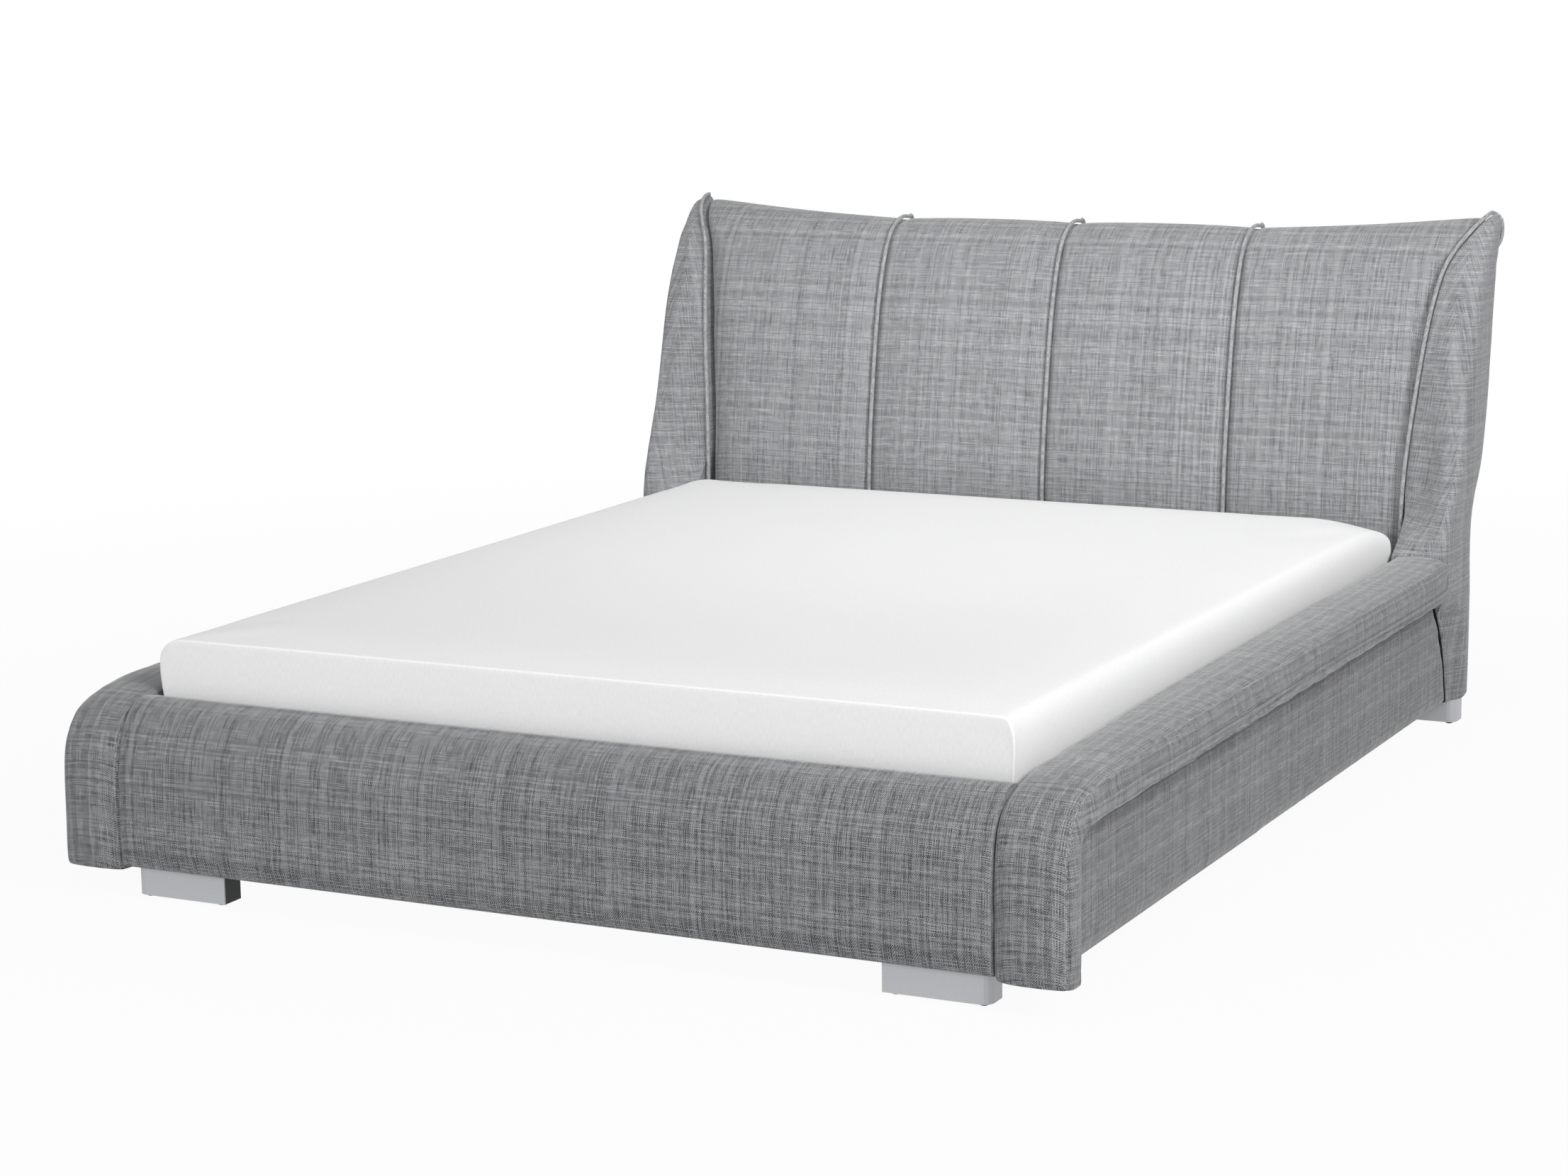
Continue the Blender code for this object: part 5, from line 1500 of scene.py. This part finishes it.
@dataclass
class Headboard(Assembly):
    """Channelled front pad, cheeks, back and piping of the headboard."""

    seam_spread: float = 410 * MM
    seam_reach: float = 15 * MM
    seam_width: float = 9 * MM
    seam_depth: float = 7 * MM
    seam_front: float = 0.5
    held_seam: float = 6 * MM
    held_hem: float = 10 * MM
    held_behind: float = 0.1
    held_sideways: float = 0.8
    pad_filling: Filling = Filling(slack=0.004)
    gathers: Gathers = Gathers(depth=2.2 * MM, wave=40 * MM, reach=28 * MM)
    back_crease: float = 0.7
    back_filling: Filling = Filling(pressure=3.0, most_swell=2.5 * MM)
    back_facing: float = 0.3
    back_side: float = 0.76
    back_step: float = 0.2895
    back_top: float = 0.87
    back_spread: float = 3.0 * MM
    back_fade: float = 20 * MM
    cord: float = 4.2 * MM
    tip_path: tuple[Point, ...] = (
        (0.9108, 1.1780, 1.0448), (0.9125, 1.1850, 1.0440), (0.9190, 1.1870, 1.0412),
        (0.9265, 1.1890, 1.0330), (0.9300, 1.1905, 1.0200), (0.9308, 1.1885, 1.0030),
        (0.9295, 1.1825, 0.9880), (0.9250, 1.1765, 0.9770), (0.9190, 1.1700, 0.9700))
    end_path: tuple[tuple[float, float], ...] = (
        (1.1900, 1.0075), (1.1960, 1.0060), (1.2000, 1.0000), (1.2005, 0.9900), (1.1970, 0.9780),
        (1.1900, 0.9680))

    def build(self) -> None:
        """Build all of the headboard's covers."""
        self.build_pad()
        self.build_back()
        for side in Side:
            Cheek(self.store, side).build()
        self.build_piping()

    def seam_distance(self, place: Vector) -> float:
        """Distance across the bed from the nearest upright seam of the pad."""
        return min(abs(place.x), abs(abs(place.x) - self.seam_spread))

    def build_pad(self) -> None:
        """Build the front pad with its four channels."""
        node = "headboard_pad"
        low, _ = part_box(node)
        pad = copy_solid(node, node + "_cover", False)
        self.cut_beside_seams(pad)
        smooth_out(pad, 2)

        def is_held(place: Vector, facing: Vector) -> bool:
            """Whether the cloth is sewn or stapled down: at the seams, the rim and the back."""
            return facing.y > self.held_behind or self.seam_distance(place) < self.held_seam \
                or place.z < low.z + self.held_hem or abs(facing.x) > self.held_sideways

        self.pad_filling.swell(pad, is_held)
        lay_cloth(pad, Lie.HEAD)
        smooth_out(pad, 1)

        def seam(place: Vector, facing: Vector) -> tuple[float, float]:
            """Pull of the nearest upright seam."""
            return fading(self.seam_distance(place), self.gathers.reach), place.z

        self.gathers.draw(pad, seam)
        self.sink_seams(pad)
        self.hand_over(pad, "bed", Finish.HEAD, "frame_fabric", [node], fill=0.9)

    def cut_beside_seams(self, pad: bpy.types.Object) -> None:
        """Add cuts on both sides of each seam, so that the cloth can turn in sharply there.

        Args:
            pad: The front pad.
        """
        slice_at(pad, 0, [middle + beside for middle in (-self.seam_spread, 0.0, self.seam_spread)
                          for beside in (-self.seam_reach, self.seam_reach)])

    def sink_seams(self, pad: bpy.types.Object) -> None:
        """Sew the cloth down along each seam, into a groove on both sides of its cord.

        Args:
            pad: The front pad.
        """
        moves = []
        for vertex in pad.data.vertices:
            share = math.exp(-(self.seam_distance(vertex.co) / self.seam_width) ** 2)
            if share > FAINT and vertex.normal.y < self.seam_front:
                moves.append((vertex, -vertex.normal * self.seam_depth * share))
        for vertex, move in moves:
            vertex.co += move

    def build_back(self) -> None:
        """Build the cover of the headboard's back."""
        node = "headboard_back_pad"
        back = copy_solid(node, node + "_cover", False)
        crease_sharp(back, self.back_crease)
        smooth_out(back, 2)
        self.back_filling.swell(back, lambda place, facing: facing.y < self.back_facing
                                or abs(facing.x) > self.held_sideways)
        for vertex in back.data.vertices:
            out = within_one((abs(vertex.co.x) - self.back_side) / self.back_fade)
            if self.back_step < vertex.co.z < self.back_top:
                vertex.co.x += math.copysign(self.back_spread * out, vertex.co.x)
        lay_cloth(back, Lie.HEAD)
        smooth_out(back, 1)
        self.hand_over(back, "bed", Finish.FRAME, "frame_fabric", [node], fill=0.8)

    def build_end(self, name: str, path: Sequence[Point]) -> None:
        """Build the end of a cord, which curls over the top of the headboard.

        Args:
            name: Name of the piece.
            path: Points that the cord follows.
        """
        data = bpy.data.curves.new(name, "CURVE")
        data.dimensions = "3D"
        data.bevel_depth = self.cord
        data.bevel_resolution = 3
        data.use_fill_caps = True
        spline = data.splines.new("NURBS")
        spline.points.add(len(path) - 1)
        for point, place in zip(spline.points, path):
            point.co = (*place, 1)
        spline.order_u = 4
        spline.use_endpoint_u = True
        spline.resolution_u = 6
        end = new_object(name, data)
        make_active(end)
        bpy.ops.object.convert(target="MESH")
        with editing(end):
            bpy.ops.mesh.remove_doubles(threshold=MERGE)
            bpy.ops.mesh.normals_make_consistent(inside=False)
        lay_cloth(end, Lie.WING)
        self.hand_over(end, "bed", Finish.PIPING, "piping_fabric")

    def build_piping(self) -> None:
        """Build the covered cords on the seams, and their ends."""
        for place in ("middle", "inner_left", "inner_right", "outer_left", "outer_right"):
            node = "headboard_piping_" + place
            cord = copy_solid(node, node + "_cover", False)
            smooth_out(cord, 2)
            lay_cloth(cord, Lie.WING)
            self.hand_over(cord, "bed", Finish.PIPING, "piping_fabric", [node])
        for side in Side:
            self.build_end("headboard_piping_tip_" + side.word,
                           [(x * side.value, y, z) for x, y, z in self.tip_path])
        for place, across in (("middle", 0.0), ("inner_left", -self.seam_spread),
                              ("inner_right", self.seam_spread)):
            self.build_end("headboard_piping_end_" + place,
                           [(across, y, z) for y, z in self.end_path])


@dataclass
class WaterCore(Assembly):
    """What lies inside the mattress's cover: foam frame, liner, heaters and water bags."""

    foam_edge: float = 5 * MM
    left_corner: float = 40 * MM
    right_corner: float = 22 * MM
    sag: float = 31 * MM
    sag_reach: float = 160 * MM
    sag_cell: float = 40 * MM
    set_back: float = 4 * MM
    pressed_skin: float = 8 * MM
    cell: float = 60 * MM
    bag_filling: Filling = Filling(pressure=3.0, most_swell=3.0 * MM)
    bag_crown: float = 20 * MM

    def build(self) -> None:
        """Build the core's pieces."""
        for node in ("foam_rail_left", "foam_rail_right", "foam_rail_foot", "foam_rail_head",
                     "thermal_divider"):
            self.build_foam(node)
        for side in Side:
            self.build_bag(side)
            self.keep_node("heater_" + side.word, Finish.HEATER)
            self.keep_node("valve_" + side.word, Finish.CAP)
            self.keep_node("valve_cap_" + side.word, Finish.CAP)
        liner = copy_solid("safety_liner", "safety_liner_film", True)
        self.hand_over(liner, "bed", Finish.LINER, "vinyl_liner", ["safety_liner"])

    def build_foam(self, node: str) -> None:
        """Build one foam piece with its cut edges worn soft.

        Args:
            node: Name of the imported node.
        """
        low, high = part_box(node)
        foam = copy_solid(node, node + "_block", True)
        if node in ("foam_rail_left", "foam_rail_right"):
            on_right = node == "foam_rail_right"
            outer = high.x if on_right else low.x
            bevel_edges(foam, self.right_corner if on_right else self.left_corner, 4,
                        lambda edge: all(abs(v.co.x - outer) < TOUCH and v.co.y > high.y - TOUCH
                                         for v in edge.verts))
        bevel_edges(foam, self.foam_edge, 2, is_square)
        if node.startswith("foam_rail"):
            self.press_in(foam)
        if node in ("foam_rail_right", "foam_rail_head"):
            _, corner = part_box("foam_rail_right")
            for axis in (0, 1):
                slice_at(foam, axis, [corner[axis] - self.sag_cell * k for k in range(1, 5)])
            sink_corner(foam, low.z, high.z, corner.to_2d(), self.sag, self.sag_reach)
        self.hand_over(foam, "bed", Finish.FOAM, "foam", [node], fill=1.0)

    def press_in(self, foam: bpy.types.Object) -> None:
        """Let the tight cover press the foam's outer faces in a little.

        Args:
            foam: The foam piece.
        """
        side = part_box("foam_rail_right")[1].x - self.pressed_skin
        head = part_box("foam_rail_head")[1].y - self.pressed_skin
        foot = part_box("foam_rail_foot")[0].y + self.pressed_skin
        for vertex in foam.data.vertices:
            place = vertex.co
            if abs(place.x) > side:
                place.x -= math.copysign(self.set_back, place.x)
            if place.y > head:
                place.y -= self.set_back
            if place.y < foot:
                place.y += self.set_back

    def build_bag(self, side: Side) -> None:
        """Build one water bag.

        Args:
            side: The side of the bed on which it lies.
        """
        node = "bladder_" + side.word
        _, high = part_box(node)
        bag = copy_solid(node, node + "_bag", True)
        slice_evenly(bag, 0, self.cell)
        slice_evenly(bag, 1, self.cell)
        smooth_out(bag, 1)
        self.bag_filling.swell(bag, lambda place, facing: place.z < high.z - self.bag_crown)
        self.hand_over(bag, "bed", Finish.VINYL, "vinyl", [node], fill=0.95)


@dataclass
class Carcass(Assembly):
    """Legs, boards, brackets, pedestal and zip slider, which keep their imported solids."""

    def build(self) -> None:
        """Give each rigid node its finish."""
        for place in ("front_left", "front_right", "rear_left", "rear_right"):
            self.keep_node("leg_" + place, Finish.LEG)
            self.keep_node("leg_block_" + place, Finish.BLOCK)
            self.keep_node("leg_bolt_" + place, Finish.STEEL)
        # The frame's boards, seen only in gaps, are black as painted shade.
        for node in ("foot_board", "rail_board_left", "rail_board_right", "headboard_board"):
            self.keep_node(node, Finish.TIMBER_PAINTED_SHADE)
        for node in ("pedestal_long_left", "pedestal_long_right", "pedestal_cross_foot",
                     "pedestal_cross_middle", "pedestal_cross_head", "deck_board_left",
                     "deck_board_right"):
            self.keep_node(node, Finish.BOARD)
        for end in ("foot", "head"):
            for side in Side:
                self.keep_node("corner_bracket_" + end + "_" + side.word, Finish.STEEL)
        for node in ("zip_slider", "zip_puller"):
            self.keep_node(node, Finish.NICKEL)


# Studio
@dataclass(frozen=True)
class Softbox:
    """A rectangular lamp that hangs at a place and faces a point of the bed."""

    name: str
    place: Point
    aim: Point
    size: tuple[float, float]
    watts: float
    beam: float = math.radians(180)

    def hang(self) -> None:
        """Hang the lamp and turn it to its point."""
        data = bpy.data.lights.new(self.name, "AREA")
        data.spread = self.beam
        data.shape = "RECTANGLE"
        data.size, data.size_y = self.size
        data.energy = self.watts
        lamp = new_object(self.name, data)
        lamp.location = self.place
        way = Vector(self.aim) - Vector(self.place)
        lamp.rotation_euler = way.to_track_quat("-Z", "Y").to_euler()


@dataclass(frozen=True)
class Studio:
    """Plain pale studio with the camera where the photograph was taken from."""

    yaw: float = 0.46275
    pitch: float = 0.18313
    roll: float = -0.01267
    focal_pixels: float = 4998.88
    place: Point = (2.86471, -6.03093, 1.63264)
    sensor: float = 36.0
    floor_size: float = 60.0
    floor_colour: str = "#b8b8b8"
    fade_from: float = 1.6
    fade_to: float = 4.5
    white_near: float = 0.95
    world_light: float = 0.29
    lamps: tuple[Softbox, ...] = (
        Softbox("softbox_above", (0.2, -0.4, 3.6), (0, -0.1, 0), (3.2, 3.2), 4),
        Softbox("softbox_right", (5.6, -2.4, 4.4), (0, 0, 0.4), (2.6, 2.6), 345),
        Softbox("softbox_front", (-0.6, -5.9, 2.6), (0, 0, 0.4), (4.0, 2.4), 146),
        Softbox("softbox_headboard", (0.4, -1.6, 3.3), (0, 1.05, 0.7), (1.8, 0.8), 6,
                math.radians(60)))

    def build(self) -> None:
        """Build camera, floor, world and lamps."""
        self.add_camera()
        self.add_floor()
        self.set_world()
        for lamp in self.lamps:
            lamp.hang()

    def add_camera(self) -> None:
        """Add the photograph's camera."""
        data = bpy.data.cameras.new("photo_camera")
        data.sensor_width = self.sensor
        data.lens = self.focal_pixels * self.sensor / PHOTO_WIDTH
        ahead = Vector((-math.sin(self.yaw) * math.cos(self.pitch),
                        math.cos(self.yaw) * math.cos(self.pitch), -math.sin(self.pitch)))
        level = Vector((math.cos(self.yaw), math.sin(self.yaw), 0))
        above = level.cross(ahead)
        right = level * math.cos(self.roll) + above * math.sin(self.roll)
        up = right.cross(ahead)
        camera = new_object("photo_camera", data)
        turned = Matrix((right, up, -ahead)).transposed().to_4x4()
        camera.matrix_world = Matrix.Translation(self.place) @ turned
        bpy.context.scene.camera = camera

    def add_floor(self) -> None:
        """Add the floor, which shows white but keeps the bed's shadow."""
        bpy.ops.object.select_all(action="DESELECT")
        bpy.ops.mesh.primitive_plane_add(size=self.floor_size)
        floor = bpy.context.active_object
        floor.name = "studio_floor"
        material, tree, shader = new_material("white_studio_paper", roughness=0.9,
                                              specular_ior_level=0.1)
        shader.inputs["Base Color"].default_value = linear_colour(self.floor_colour)
        rays = add_node(tree, "LightPath")
        seen = add_node(tree, "Math", {0: rays.outputs["Is Camera Ray"],
                                       1: rays.outputs["Is Glossy Ray"]}, operation="ADD")
        place = add_node(tree, "TexCoord")
        distance = add_node(tree, "VectorMath", {0: place.outputs["Object"]}, operation="LENGTH")
        fade = add_node(tree, "MapRange", {0: distance.outputs["Value"]},
                        {1: self.fade_from, 2: self.fade_to, 3: self.white_near, 4: 1.0})
        share = add_node(tree, "Math", {0: seen.outputs[0], 1: fade.outputs[0]},
                         operation="MULTIPLY", use_clamp=True)
        white = add_node(tree, "Emission", values={"Strength": 1.0})
        mix = add_node(tree, "MixShader", {0: share.outputs[0], 1: shader.outputs[0],
                                           2: white.outputs[0]})
        tree.links.new(mix.outputs[0], tree.nodes["Material Output"].inputs["Surface"])
        floor.data.materials.append(material)

    def set_world(self) -> None:
        """White to the eye and in reflections, and a plain soft light for the rest."""
        world = bpy.data.worlds.new("studio_world")
        bpy.context.scene.world = world
        world.use_nodes = True
        tree = world.node_tree
        rays = add_node(tree, "LightPath")
        seen = add_node(tree, "Math", {0: rays.outputs["Is Camera Ray"],
                                       1: rays.outputs["Is Glossy Ray"]}, operation="ADD")
        through = add_node(tree, "Math", {0: seen.outputs[0],
                                          1: rays.outputs["Is Transmission Ray"]},
                           operation="ADD", use_clamp=True)
        strength = add_node(tree, "MapRange", {0: through.outputs[0]},
                            {3: self.world_light, 4: 1.0})
        background = tree.nodes["Background"]
        tree.links.new(strength.outputs[0], background.inputs["Strength"])
        background.inputs["Color"].default_value = (1, 1, 1, 1)
        bpy.context.scene.view_settings.view_transform = "Standard"


def main() -> None:
    """Build the bed's looks in order and keep its sizes."""
    logging.basicConfig(level=logging.INFO, format="%(message)s")
    for item in list(bpy.data.objects):
        bpy.data.objects.remove(item, do_unlink=True)
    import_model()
    store = FinishStore()
    Studio().build()
    Carcass(store).build()
    Mattress(store).build()
    FootEnd(store).build()
    for side in Side:
        SideOfBed(store, side).build()
    Headboard(store).build()
    WaterCore(store).build()


if __name__ == "__main__":
    main()
